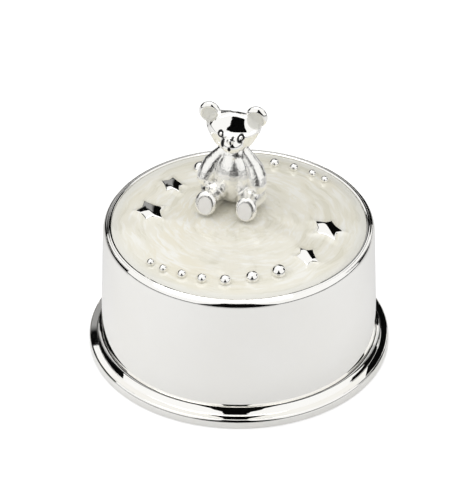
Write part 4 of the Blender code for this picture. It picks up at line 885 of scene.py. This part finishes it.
def plainObject(name, bm, mat):
    mesh = bpy.data.meshes.new(name)
    bm.to_mesh(mesh)
    bm.free()
    mesh.materials.append(mat)
    return addObject(name, mesh)


def makeFloor():
    bm = bmesh.new()
    bmesh.ops.create_circle(bm, cap_ends=True, segments=studio["floorSegments"],
                            radius=studio["floorSize"])
    floor = plainObject("floor", bm, floorFinish())


def direction(azimuth, elevation):
    # unit vector from the object; azimuth 0 is the camera's side, positive to the viewer's right
    a, e = math.radians(azimuth + camera["azimuth"]), math.radians(elevation)
    return Vector((math.sin(a) * math.cos(e), -math.cos(a) * math.cos(e), math.sin(e)))


def within(mat, value, edges):
    # 1 between the two middle edges, falling to 0 at the outer ones
    low, lowFull, highFull, high = edges
    return maths(mat, "MULTIPLY", between(mat, value, low, lowFull, 0, 1),
                 between(mat, value, high, highFull, 0, 1))


def cardFinish():
    # near black, with grey bands on what stands low behind the object
    mat, shader = newFinish("darkCard")
    shader.inputs["Base Color"].default_value = (*(studio["cardBlack"],) * 3, 1)
    shader.inputs["Specular IOR Level"].default_value = 0
    toward = cameraAxes(mat)
    bands = []
    for heights, places in studio["greyBands"]:
        heights = [math.sin(math.radians(height)) for height in heights]
        bands.append(maths(mat, "MULTIPLY", within(mat, toward["Z"], heights),
                           within(mat, toward["X"], places)))
    behind = between(mat, toward["Y"], *studio["greyBehind"], 0, studio["backGrey"])
    feed(mat, maths(mat, "MULTIPLY", anyOf(mat, bands), behind), shader, "Emission Strength")
    shader.inputs["Emission Color"].default_value = (1, 1, 1, 1)
    return mat


def makeCards():
    # dark cards that only mirrors see, on a ball round the object
    mat = cardFinish()
    columns, steps = studio["cardColumns"], studio["cardSteps"]
    for name, rows in studio["cards"].items():
        lines = []
        for (e0, l0, r0), (e1, l1, r1) in zip(rows, rows[1:]):
            for t in np.linspace(0, 1, steps, endpoint=False):
                lines.append((e0 + (e1 - e0) * t, l0 + (l1 - l0) * t, r0 + (r1 - r0) * t))
        lines.append(rows[-1])
        bm = bmesh.new()
        grid = []
        for elevation, left, right in lines:
            across = [left + (right - left) * column / columns for column in range(columns + 1)]
            grid.append([bm.verts.new(direction(azimuth, elevation) * studio["cardDistance"])
                         for azimuth in across])
        for below, above in zip(grid, grid[1:]):
            for i in range(columns):
                bm.faces.new((below[i], below[i + 1], above[i + 1], above[i]))
        card = plainObject(name, bm, mat)
        card.location = (0, 0, camera["height"] * mm)
        card.visible_camera = card.visible_diffuse = card.visible_shadow = False
        card.visible_transmission = card.visible_volume_scatter = False


def makeLight():
    # white to the camera, to mirrors and through glass, greyer as light on the object
    world = bpy.data.worlds.new("studioWorld")
    bpy.context.scene.world = world
    world.use_nodes = True
    background = world.node_tree.nodes["Background"]
    background.inputs["Color"].default_value = (1, 1, 1, 1)
    path = addNode(world, "LightPath").outputs
    mirrored = maths(world, "ADD", path["Is Glossy Ray"], path["Is Transmission Ray"])
    seen = maths(world, "ADD", path["Is Camera Ray"], mirrored, clamp=True)
    level = between(world, seen, 0, 1, studio["worldLevel"], studio["worldWhite"])
    feed(world, level, background, "Strength")
    lamp = bpy.data.lights.new("overhead", "AREA")
    lamp.shape = "DISK"
    lamp.size = studio["overheadSize"]
    lamp.energy = studio["overheadPower"]
    overhead = addObject("overhead", lamp)
    overhead.location = studio["overheadPlace"]
    overhead.rotation_euler = (-Vector(overhead.location)).to_track_quat("-Z", "Y").to_euler()


def makeCamera():
    data = bpy.data.cameras.new("camera")
    data.sensor_width = data.sensor_height = camera["sensor"]
    data.sensor_fit = "VERTICAL"
    data.lens = camera["lens"]
    data.clip_start, data.clip_end = camera["clip"]
    eye = addObject("camera", data)
    a = math.radians(camera["azimuth"])
    target = Vector((camera["side"] * math.cos(a), camera["side"] * math.sin(a), camera["height"]))
    back = direction(0, camera["elevation"])
    eye.location = (target + back * camera["distance"]) * mm
    eye.rotation_euler = back.to_track_quat("Z", "Y").to_euler()
    bpy.context.scene.camera = eye


makeFloor()
makeCards()
makeLight()
makeCamera()
bpy.context.scene.view_settings.view_transform = "Standard"
print("studio ready")
